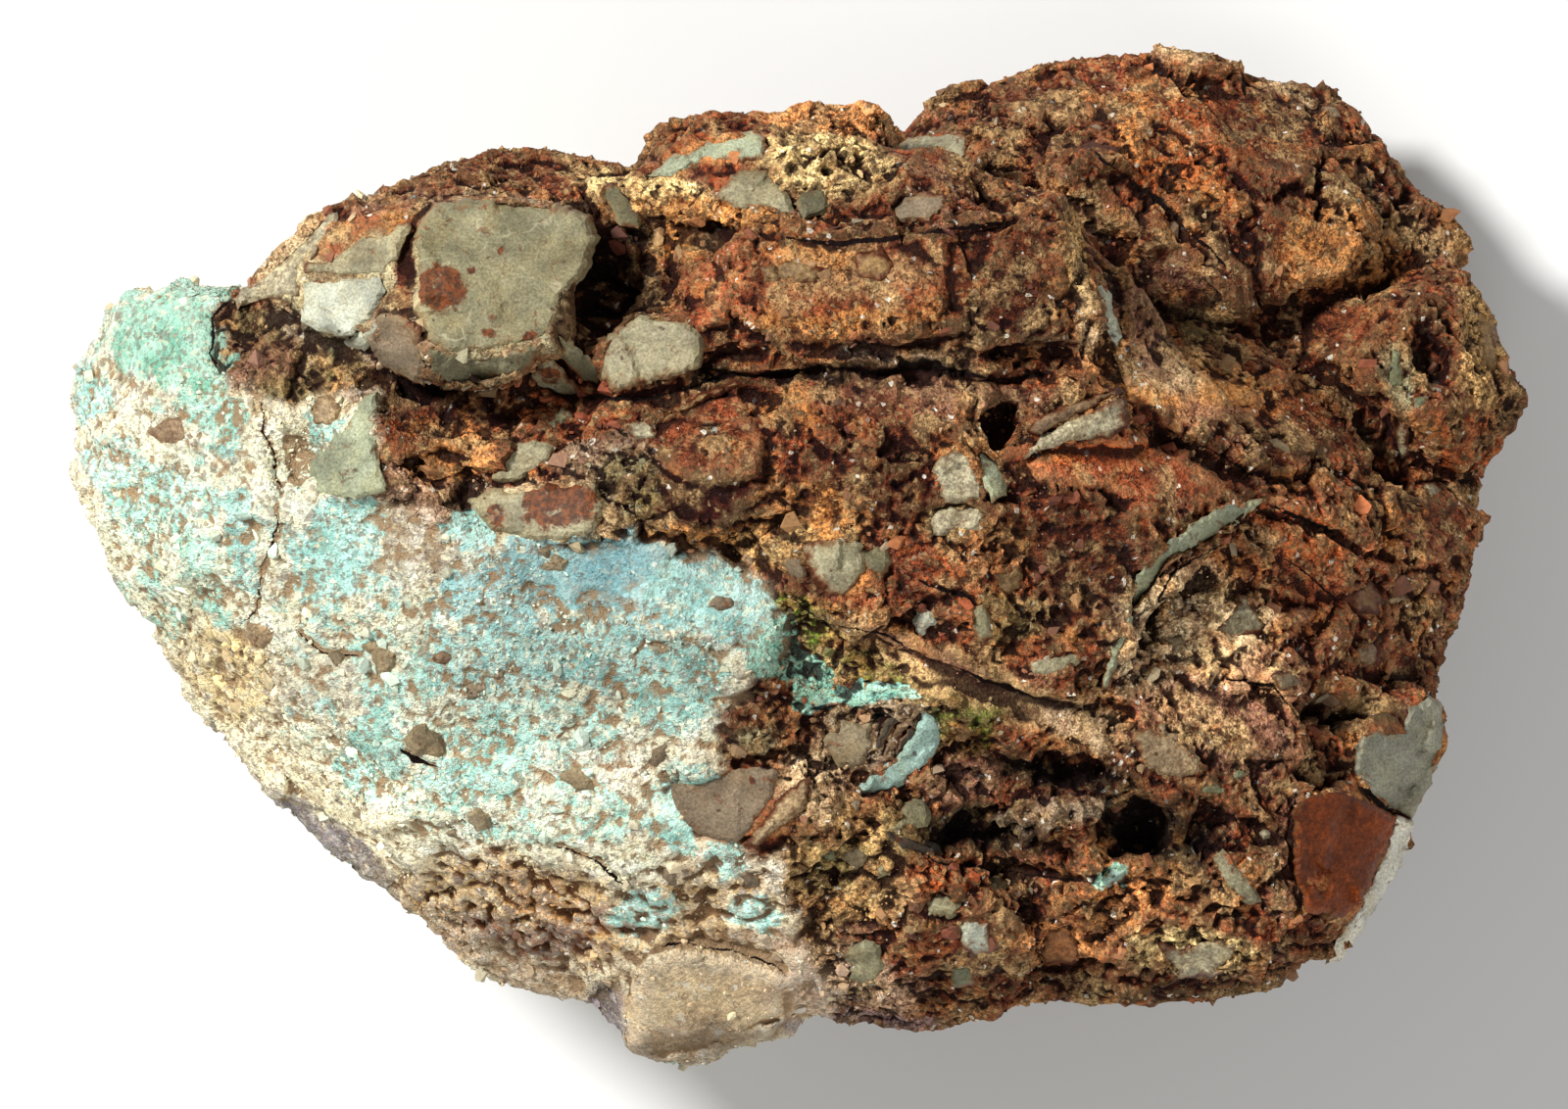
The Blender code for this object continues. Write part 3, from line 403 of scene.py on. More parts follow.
    fingerTop=("tan", 1.7, (0.2, 0.8), 0.5, [(1050, 440), (1058, 428), (1096, 410), (1140, 393), (1147, 403),
        (1100, 424), (1062, 443)]),
    notchGrey=("paleSage", 0.9, (0.6, 0.3), 0.1, [(985, 455), (1006, 458), (1022, 472), (1028, 503),
        (1013, 513), (1003, 490), (993, 464)]),
    # the corner
    cornerGreen=("greyGreen", 0.8, (0.4, 0), 0.05, [(1392, 751), (1433, 746), (1439, 724), (1458, 713),
        (1472, 724), (1472, 765), (1461, 800), (1442, 836), (1417, 824), (1398, 811), (1384, 787),
        (1385, 760)]),
    cornerOrange=("russet", 0.8, (0, 0.3), 0.0, [(1322, 824), (1338, 812), (1371, 805), (1425, 836),
        (1421, 852), (1404, 888), (1389, 922), (1371, 936), (1334, 930), (1322, 892)]),
    cornerEdge=("white", 2.0, (0, 0), 0.0, [(1424, 836), (1444, 842), (1436, 872), (1398, 938), (1372, 978),
        (1358, 980), (1372, 943), (1388, 924), (1404, 888), (1420, 854)]),
    # the rear and the right
    rearNose=("paleOchre", 0.5, (0, 0), 0.6, [(1102, 150), (1116, 144), (1142, 152), (1146, 162),
        (1120, 162)]),
    rearChip=("orange", 0.8, (0.5, 0), 0.7, [(1280, 278), (1288, 272), (1304, 296), (1306, 306),
        (1284, 300)]),
    rightGreen=("sage", 0.5, (0, 0), 0.2, [(1420, 352), (1432, 358), (1436, 392), (1424, 402), (1412, 392)]),
    rightGreenTwo=("sage", 0.4, (0, 0), 0.2, [(1438, 404), (1456, 402), (1460, 414), (1444, 420)]),
    shoulder=("paleOchre", 0.5, (0.6, 0), 0.4, [(1504, 312), (1526, 320), (1534, 376), (1518, 384),
        (1508, 350)]),
    rightStreak=("cream", 0.5, (0, 0), 0.4, [(1424, 424), (1436, 426), (1438, 466), (1428, 484),
        (1422, 456)]),
    rightOchre=("ochre", 0.7, (0, 0.5), 0.5, [(1370, 610), (1400, 590), (1416, 612), (1404, 628),
        (1380, 626)]),
    rightPale=("peach", 0.6, (0, 0), 0.4, [(1414, 606), (1436, 604), (1440, 616), (1420, 620)]),
    rightCream=("cream", 0.5, (0, 0), 0.3, [(1452, 494), (1466, 490), (1472, 506), (1458, 510)]),
    rearPale=("peach", 0.5, (0, 0), 0.4, [(1348, 112), (1362, 106), (1376, 118), (1362, 126)]),
)

# Rust spots on the fragments: middle and half-sizes.
rustSpots = [(449, 295, 25, 23), (499, 340, 8, 5), (481, 276, 4, 4), (569, 513, 38, 24), (506, 525, 10, 10),
             (560, 384, 11, 10), (511, 256, 3, 3), (540, 344, 8, 5), (768, 798, 4, 4), (1010, 452, 6, 6)]

fragmentForm = {
    "spacing": 4.0,         # points between mesh corners
    "ragged": 1.6,          # points the outline wanders
    "notched": 0.7,         # and how far single corners are off
    "rise": 0.5,            # share of the named rise that is used
    "depth": 2.6,           # millimetres it goes down into the stone
    "taper": 0.05,          # how much wider its foot is
    "bevel": 0.55,          # millimetres the worn edge drops
    "bevelWidth": 7.0,      # points over which it drops
    "steepest": 0.11,       # millimetres of rise per point that the ground may give it
    "facetSize": 4.4, "facetTilt": 0.30, "facetStep": 0.05, "facetSoft": 1,
    "ripple": 0.07, "rippleSize": 2.5,
    "rustReach": 26,        # points that rust creeps in from the edge, less on small ones
}
facingUp = 0.15             # upward part of the outward direction where a face counts as seen


def cellFacets(points, size, tilt, step, seed):
    # the surface broken in cells, each with a level and a slant of its own
    heights = np.zeros(len(points))
    for number, place in enumerate((points / size + seed).tolist()):
        middle = noise.voronoi(place)[1][0]
        level = noise.cell(middle * 3.7)
        slant = noise.cell_vector(middle * 5.1)
        away = Vector(place) - middle
        heights[number] = step * (level - 0.5) + tilt * size * (
            (slant.x - 0.5) * away.x + (slant.y - 0.5) * away.y + (slant.z - 0.5) * away.z)
    return heights


def groundPlane(flat, heights, outline):
    # height over the view frame of the plane that fits the skin inside the outline
    middle = np.mean(outline, axis=0)
    inside = outlineDistance(flat, outline) < 0
    near = flat[inside] - middle
    # only what shows: the upper skin there and what lies less than 5 mm under it
    level = heights[inside]
    shown = level > np.percentile(level, 60) - 5
    columns = np.column_stack([np.ones(shown.sum()), near[shown]])
    fit = np.linalg.lstsq(columns, level[shown], rcond=None)[0]
    limit = fragmentForm["steepest"]
    slope = np.clip(fit[1:], -limit, limit)
    return middle, np.median(level[shown] - near[shown] @ slope), slope


def fragmentPlanes(flat, heights, outward):
    facing = outward[:, 2] > facingUp
    planes = {}
    for name, (_, rise, slant, _, outline) in fragments.items():
        middle, level, slope = groundPlane(flat[facing], heights[facing], outline)
        slope = slope + np.array(slant) / 100
        planes[name] = (middle, level + fragmentForm["rise"] * rise, slope)
    return planes


def raggedOutline(outline, seed):
    # the outline with more corners, wandering a little
    corners = np.array(outline, float)
    dense = []
    for start, end in zip(corners, np.roll(corners, -1, 0)):
        steps = max(1, round(np.linalg.norm(end - start) / fragmentForm["spacing"]))
        dense += [start + (end - start) * step / steps for step in range(steps)]
    dense = np.array(dense)
    spots = np.column_stack([dense, np.full(len(dense), seed)]) / 9
    shift = np.array([
        [noise.noise(spot), noise.noise([part + 9.1 for part in spot])] for spot in spots.tolist()])
    off = np.random.default_rng(int(seed * 10)).normal(size=dense.shape) * fragmentForm["notched"]
    return dense + shift * 2 * fragmentForm["ragged"] + off


def fragmentShape(outline, plane, seed, draw):
    # top face, walls and base of one fragment: points, triangles, and how near its edge each point is
    form = fragmentForm
    rim = raggedOutline(outline, seed)
    low, high = rim.min(0), rim.max(0)
    gap = form["spacing"]
    grid = np.stack(np.meshgrid(np.arange(low[0], high[0], gap), np.arange(low[1], high[1], gap)), -1)
    grid = grid.reshape(-1, 2) + draw.uniform(-0.3, 0.3, (grid.size // 2, 2)) * gap
    grid = grid[outlineDistance(grid, rim) < -gap * 0.55]
    count = len(rim)
    loop = [(number, (number + 1) % count) for number in range(count)]
    spots = [Vector(spot) for spot in np.vstack([rim, grid]).tolist()]
    made = geometry.delaunay_2d_cdt(spots, loop, [], 1, 1e-5)
    flat = np.array([tuple(spot) for spot in made[0]])
    faces = np.array([face for face in made[2] if len(face) == 3])
    edge = -outlineDistance(flat, rim)
    middle, level, slope = plane
    points = stonePoints(flat, level + (flat - middle) @ slope)
    relief = cellFacets(points, form["facetSize"], form["facetTilt"], form["facetStep"], seed)
    sides = np.vstack([faces[:, [0, 1]], faces[:, [1, 2]], faces[:, [2, 0]]])
    relief = smoothed(relief[:, None], sides, form["facetSoft"])[:, 0]
    relief += form["ripple"] * turbulence(points, form["rippleSize"], seed, 2) * 2
    relief -= form["bevel"] * (1 - np.clip(edge / form["bevelWidth"], 0, 1)) ** 2
    points[:, 2] += relief
    # walls down from the border, found as the sides that one triangle has
    keys = {tuple(side) for side in sides.tolist()}
    border = [side for side in keys if (side[1], side[0]) not in keys]
    onRim = sorted({corner for side in border for corner in side})
    below = {corner: len(points) + number for number, corner in enumerate(onRim)}
    centre = points[onRim].mean(0)
    foot = points[onRim].copy()
    foot[:, :2] += (foot[:, :2] - centre[:2]) * form["taper"]
    foot[:, 2] -= form["depth"]
    walls = []
    for start, end in border:
        walls += [(end, start, below[start]), (end, below[start], below[end])]
    base = len(points) + len(foot)
    floor = [(below[start], base, below[end]) for start, end in border]
    points = np.vstack([points, foot, foot.mean(0)[None]])
    nearness = np.clip(1 - edge / min(form["rustReach"], 0.7 * edge.max()), 0, 1)
    nearness = np.concatenate([nearness, np.ones(len(foot) + 1)])
    return points, np.vstack([faces, walls, floor]), nearness


def buildFragments(planes):
    draw = np.random.default_rng(5)
    points, corners, shades, nearness, stains, veined = [], [], [], [], [], []
    start = 0
    for number, (name, (shade, _, _, stain, outline)) in enumerate(fragments.items()):
        spots, faces, edge = fragmentShape(outline, planes[name], 3.1 * number, draw)
        points.append(spots)
        corners.append(faces + start)
        start += len(spots)
        shades.append(np.tile(tone[shade], (len(spots), 1)))
        nearness.append(edge)
        stains.append(np.full(len(spots), stain))
        veined.append(np.full(len(spots), float(shade in ("chert", "paleChert"))))
    points = np.vstack(points)
    made = meshObject("chertFragments", points, np.vstack(corners))
    flat = framePoints(points)
    spot = np.zeros(len(points))
    for across, down, wide, high in rustSpots:
        away = np.hypot((flat[:, 0] - across) / wide, (flat[:, 1] - down) / high)
        spot = np.maximum(spot, smoothStep(1.35, 0.7, away))
    setColours(made.data, "shade", np.vstack(shades))
    setNumbers(made.data, "rim", np.concatenate(nearness))
    setNumbers(made.data, "stain", np.concatenate(stains))
    setNumbers(made.data, "spot", spot)
    setNumbers(made.data, "veined", np.concatenate(veined))
    onStone(made, fragmentMaterial())
    print("fragments:", len(fragments), "of them,", len(made.data.polygons), "triangles")


# The stone's skin is a fine copy of the solid, carved in code.
skin = {
    "voxel": 0.38,              # millimetres between the copy's points
    "smoothRounds": 14,         # rounds of smoothing that wear away the solid's facets
    "broadRounds": 24,          # and more, for the directions that the relief grows along
    "footRounds": 220, "footHeight": (15, 4),   # the foot is worn round below these heights
    "finest": 197000,           # triangles at most
    # size, tilt and step of the broken facets: large ones, chips and bits
    "facets": (7.0, 0.34, 0.45), "chips": (2.9, 0.36, 0.16), "bits": (1.5, 0.42, 0.16),
    "lump": 0.24, "grit": 0.095, "paleCrumb": 0.18, "pore": 0.75, "poreSize": 1.25,
    "hollows": 0.7, "steps": 0.5,           # share of the named depths and rises that is used
    "crackDepth": 0.5, "crackWidth": 0.26,  # millimetres
    "flattened": 1.6,           # millimetres that a flat face may move the ground
    "underFragment": 0.35,      # millimetres that the ground lies below a fragment's top
    "settles": 1.2,             # and how far it may be raised to get there
    "border": 14,               # frame points over which pale and brown mix
    "stray": (14, 5),           # frame points that borders stray, broadly and finely
}
# Where the pale end with the turquoise meets the iron-stained rock
paleOutline = [
    (20, 420), (40, 290), (120, 255), (212, 262), (224, 306), (214, 350), (228, 390), (300, 404),
    (385, 400), (384, 505), (440, 515), (470, 542), (560, 556), (690, 558), (790, 592), (806, 650),
    (770, 700), (742, 724), (736, 786), (676, 800), (720, 860), (800, 876), (812, 950), (850, 1010),
    (830, 1120), (560, 1120), (300, 930), (100, 740), (20, 560),
]

# Hollows: middle, half-sizes and turn on the view frame, depth in millimetres.
hollows = dict(
    underChert=(452, 394, 74, 13, 5, 2.6), pocket=(622, 282, 54, 50, 0, 2.6),
    pocketLow=(582, 322, 22, 24, 0, 1.2), notch=(1026, 434, 22, 20, -30, 2.6),
    caveLow=(1000, 852, 52, 16, 10, 3.0), caveUpper=(1085, 791, 60, 14, 6, 2.2),
    caveRight=(1165, 852, 44, 24, 12, 3.0), edgeCave=(1378, 730, 40, 11, 0, 3.2),
    edgeNook=(1348, 794, 22, 9, 0, 2.4), rearSpot=(1014, 164, 18, 8, 0, 2.0),
    rearSlot=(1351, 194, 8, 32, 12, 2.0), shoulderSlot=(1466, 356, 20, 44, -6, 1.0),
    caveRidge=(1072, 834, 66, 13, -6, -2.0), notchDeep=(1028, 434, 20, 18, -20, 2.4),
    blockLow=(722, 516, 44, 18, 4, 0.8), rightHole=(1366, 478, 14, 9, 0, 1.4),
    rightHoleTwo=(1432, 206, 14, 12, 0, 1.4), plateHole=(870, 432, 10, 16, 0, 1.4),
    rightShade=(1418, 690, 18, 12, 0, 1.2), lobeHollow=(300, 352, 70, 34, 24, 1.0),
    toeShade=(612, 1040, 18, 26, -10, 0.8), leftNook=(238, 680, 20, 24, 0, 0.8),
    bottomCave=(1130, 996, 80, 8, 3, 1.6),
)

# Flat faces of the broken rock: how flat, slant as for the fragments, and the outline.
flats = dict(
    massRight=(0.9, (0, 0), [(428, 224), (446, 206), (480, 200), (575, 208), (606, 222), (608, 250),
        (578, 300), (562, 345), (510, 356), (460, 362), (436, 346), (426, 300), (420, 252)]),
    massLeft=(0.8, (0, 0), [(304, 276), (330, 224), (392, 222), (410, 240), (398, 320), (350, 350),
        (306, 334)]),
    spotted=(0.9, (0, 0), [(474, 516), (500, 496), (606, 488), (618, 520), (608, 550), (552, 556),
        (496, 546)]),
    bandPlate=(0.8, (0, 0.3), [(562, 562), (600, 552), (690, 556), (676, 590), (640, 604), (602, 600),
        (580, 618), (566, 602)]),
    bandShard=(0.8, (0.8, 0), [(644, 630), (660, 600), (684, 564), (700, 560), (694, 584), (672, 620),
        (656, 636)]),
    toeTop=(0.9, (0, 0), [(655, 978), (680, 968), (765, 984), (798, 1012), (800, 1036), (760, 1048),
        (700, 1060), (652, 1046)]),
    toeLow=(0.95, (0, -5.0), [(652, 1048), (700, 1062), (798, 1040), (790, 1058), (665, 1084), (646, 1078)]),
    toeLeft=(0.95, (5.0, 0), [(597, 1018), (640, 990), (650, 1048), (644, 1078), (612, 1050)]),
    slabTop=(0.85, (0, 0), [(1046, 468), (1090, 456), (1180, 452), (1250, 480), (1286, 504), (1262, 512),
        (1190, 520), (1120, 500), (1060, 496)]),
    slabFront=(0.7, (0, 0), [(1040, 504), (1110, 508), (1180, 530), (1170, 570), (1150, 610), (1080, 600),
        (1030, 560)]),
    plateLeft=(0.8, (0, 0), [(790, 250), (860, 246), (940, 244), (960, 290), (900, 330), (820, 334),
        (770, 320)]),
    plateRight=(0.75, (0.6, 0), [(962, 246), (1040, 232), (1084, 240), (1090, 300), (1040, 330), (966, 322)]),
    plateLow=(0.7, (0, 0), [(790, 345), (900, 350), (1000, 362), (1080, 372), (1040, 372), (960, 368),
        (860, 370), (780, 366)]),
    ledgeLow=(0.7, (0, 0), [(780, 392), (880, 392), (1000, 400), (980, 440), (880, 440), (800, 430)]),
    block=(0.85, (0.4, 0.4), [(668, 432), (716, 410), (754, 398), (780, 446), (776, 490), (700, 494),
        (668, 470)]),
    blockLow=(0.85, (0, -1.4), [(672, 484), (700, 498), (776, 494), (752, 532), (694, 532)]),
    beside=(0.85, (-0.5, 0), [(690, 250), (726, 256), (748, 290), (744, 330), (716, 338), (690, 300)]),
    rearDark=(0.8, (0, 0), [(1180, 250), (1240, 240), (1280, 280), (1276, 330), (1210, 330), (1170, 300)]),
    rearSlope=(0.7, (0, 0), [(1110, 190), (1150, 186), (1196, 226), (1180, 250), (1120, 240)]),
    rearTop=(0.7, (0, 0.5), [(1000, 84), (1100, 66), (1180, 58), (1220, 90), (1160, 130), (1040, 130)]),
    rearRight=(0.75, (0.8, 0), [(1230, 90), (1300, 96), (1350, 140), (1330, 190), (1270, 170)]),
    rearFar=(0.75, (0, -0.5), [(1280, 200), (1330, 220), (1400, 230), (1380, 280), (1310, 290)]),
    saddle=(0.8, (0, 0), [(1136, 362), (1200, 374), (1290, 400), (1280, 436), (1200, 424), (1150, 400)]),
    blockRear=(0.85, (-0.4, 0), [(1330, 312), (1390, 302), (1410, 350), (1370, 376), (1326, 360)]),
    rightPlate=(0.8, (0, 0.4), [(1300, 404), (1370, 390), (1420, 424), (1400, 468), (1320, 468)]),
    rightUpper=(0.8, (0.6, 0), [(1290, 540), (1340, 558), (1390, 590), (1370, 620), (1310, 600)]),
    rightLower=(0.75, (0, 0), [(1400, 640), (1440, 650), (1450, 700), (1400, 690)]),
    rightFar=(0.75, (0.5, 0), [(1420, 500), (1490, 490), (1510, 560), (1450, 580)]),
    belowSlab=(0.6, (0, 0), [(1180, 610), (1240, 600), (1280, 650), (1240, 680), (1180, 670)]),
    tanBand=(0.8, (0, 0), [(900, 656), (1000, 690), (1110, 724), (1140, 770), (1030, 728), (940, 694)]),
    lowerBrown=(0.7, (0, 0.4), [(1200, 700), (1290, 710), (1320, 760), (1260, 780), (1200, 750)]),
    lobeFace=(0.5, (0, 0), [(120, 310), (200, 310), (210, 370), (150, 400), (104, 360)]),
    rimFacet=(0.7, (0, 0), [(290, 790), (380, 850), (410, 890), (340, 880), (290, 840)]),
    underChert=(0.7, (0.6, 0), [(392, 404), (440, 412), (450, 460), (396, 470)]),
    besideCrack=(0.6, (0, 0), [(310, 540), (360, 520), (380, 590), (330, 620)]),
    bandFace=(0.7, (0, 0), [(690, 570), (760, 600), (740, 650), (670, 640)]),
    bandLeft=(0.6, (0, 0), [(480, 640), (540, 600), (560, 650), (500, 690)]),
    centre=(0.7, (0, 0), [(800, 480), (880, 460), (900, 520), (830, 540)]),
    centreLow=(0.7, (0.5, 0), [(900, 560), (980, 560), (990, 600), (920, 620)]),
    bottom=(0.7, (0, 0), [(960, 940), (1040, 930), (1060, 980), (980, 1000)]),
)

# Steps in the ground: the line, rise in millimetres to the left of its run, width of the rise.
steps = dict(
    ledge=([(690, 372), (760, 379), (830, 371), (900, 379), (960, 373), (1030, 385), (1098, 372)], 0.9, 26),
    ledgeUpper=([(770, 236), (840, 246), (905, 240), (960, 228), (1050, 214)], 1.0, 18),
    plate=([(800, 338), (880, 346), (960, 352), (1040, 362), (1096, 350)], 0.7, 14),
    orangeStep=([(620, 212), (680, 222), (740, 232), (800, 228)], 0.9, 16),
    slabFront=([(1040, 508), (1100, 530), (1150, 556), (1180, 560)], 0.8, 24),
    band=([(846, 642), (900, 654), (950, 676), (1010, 698), (1070, 716), (1130, 722)], 1.1, 20),
    bandLow=([(880, 664), (950, 700), (1010, 724), (1080, 754), (1150, 790)], -0.8, 16),
    toe=([(640, 988), (700, 970), (760, 978), (806, 1006)], -1.4, 20),
    toeEdge=([(636, 1080), (642, 1040), (652, 980)], -1.0, 16),
    rimStep=([(262, 800), (330, 830), (390, 860), (430, 900)], 1.2, 20),
    rearCleft=([(1116, 160), (1160, 190), (1206, 226), (1262, 268)], 1.4, 22),
    rearPlate=([(1180, 120), (1250, 160), (1310, 230), (1330, 300)], 0.8, 24),
    saddle=([(1170, 420), (1220, 446), (1270, 476), (1292, 510), (1340, 530), (1396, 556)], 1.1, 24),
    rightPlate=([(1300, 400), (1360, 384), (1410, 404), (1440, 440)], 0.8, 22),
    caveLip=([(1010, 872), (1080, 886), (1140, 892), (1210, 902)], 0.9, 16),
    pocketLip=([(560, 352), (572, 306), (596, 262), (612, 228)], 0.8, 14),
)

# Cracks: points on the view frame, and width in millimetres.
cracks = dict(
    lobe=([(236, 306), (218, 322), (215, 362), (229, 386)], 0.24),
    long=([(250, 400), (267, 410), (271, 424), (267, 440), (283, 468), (279, 482), (287, 502), (279, 518),
        (285, 532), (277, 556), (267, 582), (262, 604), (258, 624), (247, 636), (241, 650)], 0.13),
    clast=([(408, 762), (422, 774), (450, 782)], 0.24),
    ledge=([(700, 374), (770, 382), (840, 374), (900, 382), (960, 376), (1030, 388), (1085, 378)], 0.22),
    ledgeUpper=([(790, 240), (850, 250), (900, 246), (960, 234), (1040, 226)], 0.26),
    seam=([(540, 392), (600, 404), (650, 408), (700, 398), (760, 378)], 0.28),
    band=([(800, 606), (846, 638), (904, 648), (940, 670), (1000, 690), (1060, 714), (1120, 722)], 0.2),
    rear=([(1112, 152), (1150, 182), (1200, 220), (1262, 284)], 0.24),
    rearTwo=([(1134, 172), (1180, 200), (1214, 240)], 0.12),
    slabEdge=([(1290, 520), (1252, 554), (1198, 582), (1164, 650)], 0.2),
    saddle=([(1180, 430), (1230, 456), (1272, 482), (1288, 512), (1338, 534), (1390, 558)], 0.2),
    corner=([(1324, 806), (1320, 862), (1330, 936)], 0.24),
    cornerTop=([(1386, 800), (1424, 834), (1444, 840)], 0.26),
    bottom=([(668, 968), (700, 964), (760, 973), (788, 982), (806, 1002)], 0.16),
    middle=([(930, 590), (990, 610), (1030, 650)], 0.2),
    right=([(1300, 560), (1350, 600), (1400, 640)], 0.14),
    rightTwo=([(1340, 470), (1400, 500), (1460, 520)], 0.16),
    rightThree=([(1240, 690), (1300, 700), (1330, 740)], 0.16),
    lower=([(900, 850), (960, 880), (1040, 892), (1120, 900)], 0.2),
    footOne=([(560, 860), (610, 880), (640, 906)], 0.2),
    slopeOne=([(300, 640), (330, 668), (372, 672)], 0.14),
)

# Calm ground, with less relief and fewer crumbs: middle, half-sizes, turn, how calm.
calmPatches = dict(
    toe=(725, 1030, 110, 54, -6, 0.9), bandBlue=(620, 585, 84, 32, 0, 1.0), strip=(880, 706, 66, 16, -4, 0.8),
    bandRight=(724, 612, 66, 40, 8, 0.7), lobeGreen=(160, 345, 74, 46, 0, 0.6),
    slabTop=(1150, 478, 124, 32, 8, 0.8), plateTop=(870, 285, 140, 42, 0, 0.65),
    plateLow=(900, 402, 150, 22, 0, 0.5), saddle=(1210, 400, 96, 30, 16, 0.75),
    tanBand=(1000, 700, 160, 24, 24, 0.85), cornerFace=(1375, 870, 54, 74, 0, 1.0),
    greenBlock=(1432, 770, 46, 60, 0, 1.0), spotted=(545, 522, 76, 32, 0, 0.85),
    block=(722, 462, 62, 66, 0, 0.65), chertMass=(430, 300, 190, 96, 0, 0.8),
    smoothClast=(750, 826, 80, 42, 0, 1.0), underCrack=(340, 560, 40, 50, 0, 0.5),
    rearFacet=(1230, 290, 60, 40, 0, 0.35), greySlab=(730, 165, 80, 34, 0, 0.7),
    besidePocket=(712, 285, 30, 50, 0, 0.6), centre=(830, 570, 60, 40, 0, 0.5),
    rimTan=(330, 820, 90, 24, 40, 0.4), topPale=(945, 156, 44, 24, 0, 0.8),
    rear=(1290, 230, 200, 190, 0, 0.3),
)


def patchReach(flat, patch):
    # 1 on the border of the patch, less inside it
    across, down, wide, high, turn = patch[:5]
    angle = math.radians(turn)
    away = flat - (across, down)
    along = away[:, 0] * math.cos(angle) + away[:, 1] * math.sin(angle)
    over = away[:, 1] * math.cos(angle) - away[:, 0] * math.sin(angle)
    return np.hypot(along / wide, over / high)


def patchShare(table, moved, rim=1.25, core=0.75):
    # how strongly the strongest patch of the table holds at each place
    share = np.zeros(len(moved))
    for patch in table.values():
        share = np.maximum(share, patch[5] * smoothStep(rim, core, patchReach(moved, patch)))
    return share


def calmness(moved):
    return patchShare(calmPatches, moved)


def wanderOf(points, broad, fine):
    # how far, in frame points, drawn borders stray from their lines
    return np.stack([
        turbulence(points, 3.0, seed) * broad + noiseField(points, 0.9, seed + 3) * fine
        for seed in (5.0, 15.0)
    ], 1)


def denseCopy(name, source):
    made = bpy.data.objects.new(name, source.data.copy())
    bpy.context.scene.collection.objects.link(made)
    made.data.materials.clear()
    remesh = made.modifiers.new("even", "REMESH")
    remesh.mode = "VOXEL"
    remesh.voxel_size = skin["voxel"] * mm
    applyModifiers(made)
    return made


def brokenUp(points, kind, seed):
    size, tilt, step = skin[kind]
    return cellFacets(points, size, tilt, step, seed)


def groundRelief(points, moved, flat, wander, up):
    # millimetres that the skin stands out or lies in
    pale = smoothStep(skin["border"], -skin["border"], outlineDistance(moved, paleOutline)) * up
    rough = 1 - 0.85 * calmness(moved) * up
    height = np.zeros(len(points))
    for hollow in hollows.values():
        inside = smoothStep(1.3, 0.35, patchReach(flat + wander * 1.9, hollow))
        height -= skin["hollows"] * hollow[5] * inside * up
    for line, rise, width in steps.values():
        away, along, side = lineDistance(flat + wander * 0.8, line)
        bank = np.exp(-away / (2.2 * width)) * smoothStep(0, 4, away)
        height += rise * side * bank * -skin["steps"] * lineTaper(along) * up
    height += skin["lump"] * turbulence(points, 6.0, 2.0, 3) * 2
    stretched = points * (1.0, 1.25, 0.8)
    height += (1 - 0.8 * pale) * (0.4 + 0.6 * rough) * brokenUp(stretched, "facets", 40.0)
    height += (1 - 0.45 * pale) * rough * brokenUp(stretched, "chips", 90.0)
    height += (1 - 0.7 * pale) * (0.15 + 0.85 * rough) * brokenUp(points, "bits", 140.0)
    grit = np.random.default_rng(3).normal(size=len(points)) * skin["grit"]
    height += (0.3 + 0.7 * rough) * (1 - 0.4 * pale) * grit
    crumbs = turbulence(points, 1.1, 71.0, 2) * 2 + 0.5 * ridges(points, 3.2, 77.0)
    height += pale * (0.25 + 0.75 * rough) * skin["paleCrumb"] * crumbs
    pores = patchShare(porousPatches, moved) * up
    height -= skin["pore"] * pores * smoothStep(0.08, 0.30, noiseField(points, skin["poreSize"], 151.0))
    height *= 0.62 + 0.38 * up
    for line, _ in cracks.values():
        away, along, _ = lineDistance(flat + wander * 0.3, line)
        close = np.exp(-(away / (view["pointsPerMm"] * skin["crackWidth"])) ** 2)
        height -= skin["crackDepth"] * close * lineTaper(along) * up
    return height


def flatten(points, flat, wander, facing):
    for strength, slant, outline in flats.values():
        middle, level, slope = groundPlane(flat[facing], points[facing, 2], outline)
        slope = slope + np.array(slant) / 100
        inside = smoothStep(2.0, -5.0, outlineDistance(flat + wander * 0.4, outline)) * facing
        near = np.nonzero(inside > 0)[0]
        change = level + (flat[near] - middle) @ slope - points[near, 2]
        points[near, 2] += np.clip(change, -skin["flattened"], skin["flattened"]) * inside[near] * strength


def settleUnder(points, flat, outward, planes):
    # the ground lies just below the top of each fragment
    for name, (_, rise, _, _, outline) in fragments.items():
        inside = smoothStep(-1.5, -6.5, outlineDistance(flat, outline)) * (outward[:, 2] > 0.1)
        near = np.nonzero(inside > 0)[0]
        middle, level, slope = planes[name]
        target = level + (flat[near] - middle) @ slope - skin["underFragment"] - rise * 0.3
        close = np.abs(points[near, 2] - target) < 7
        near, target = near[close], target[close]
        change = np.minimum(target, points[near, 2] + skin["settles"]) - points[near, 2]
        points[near, 2] += change * inside[near]


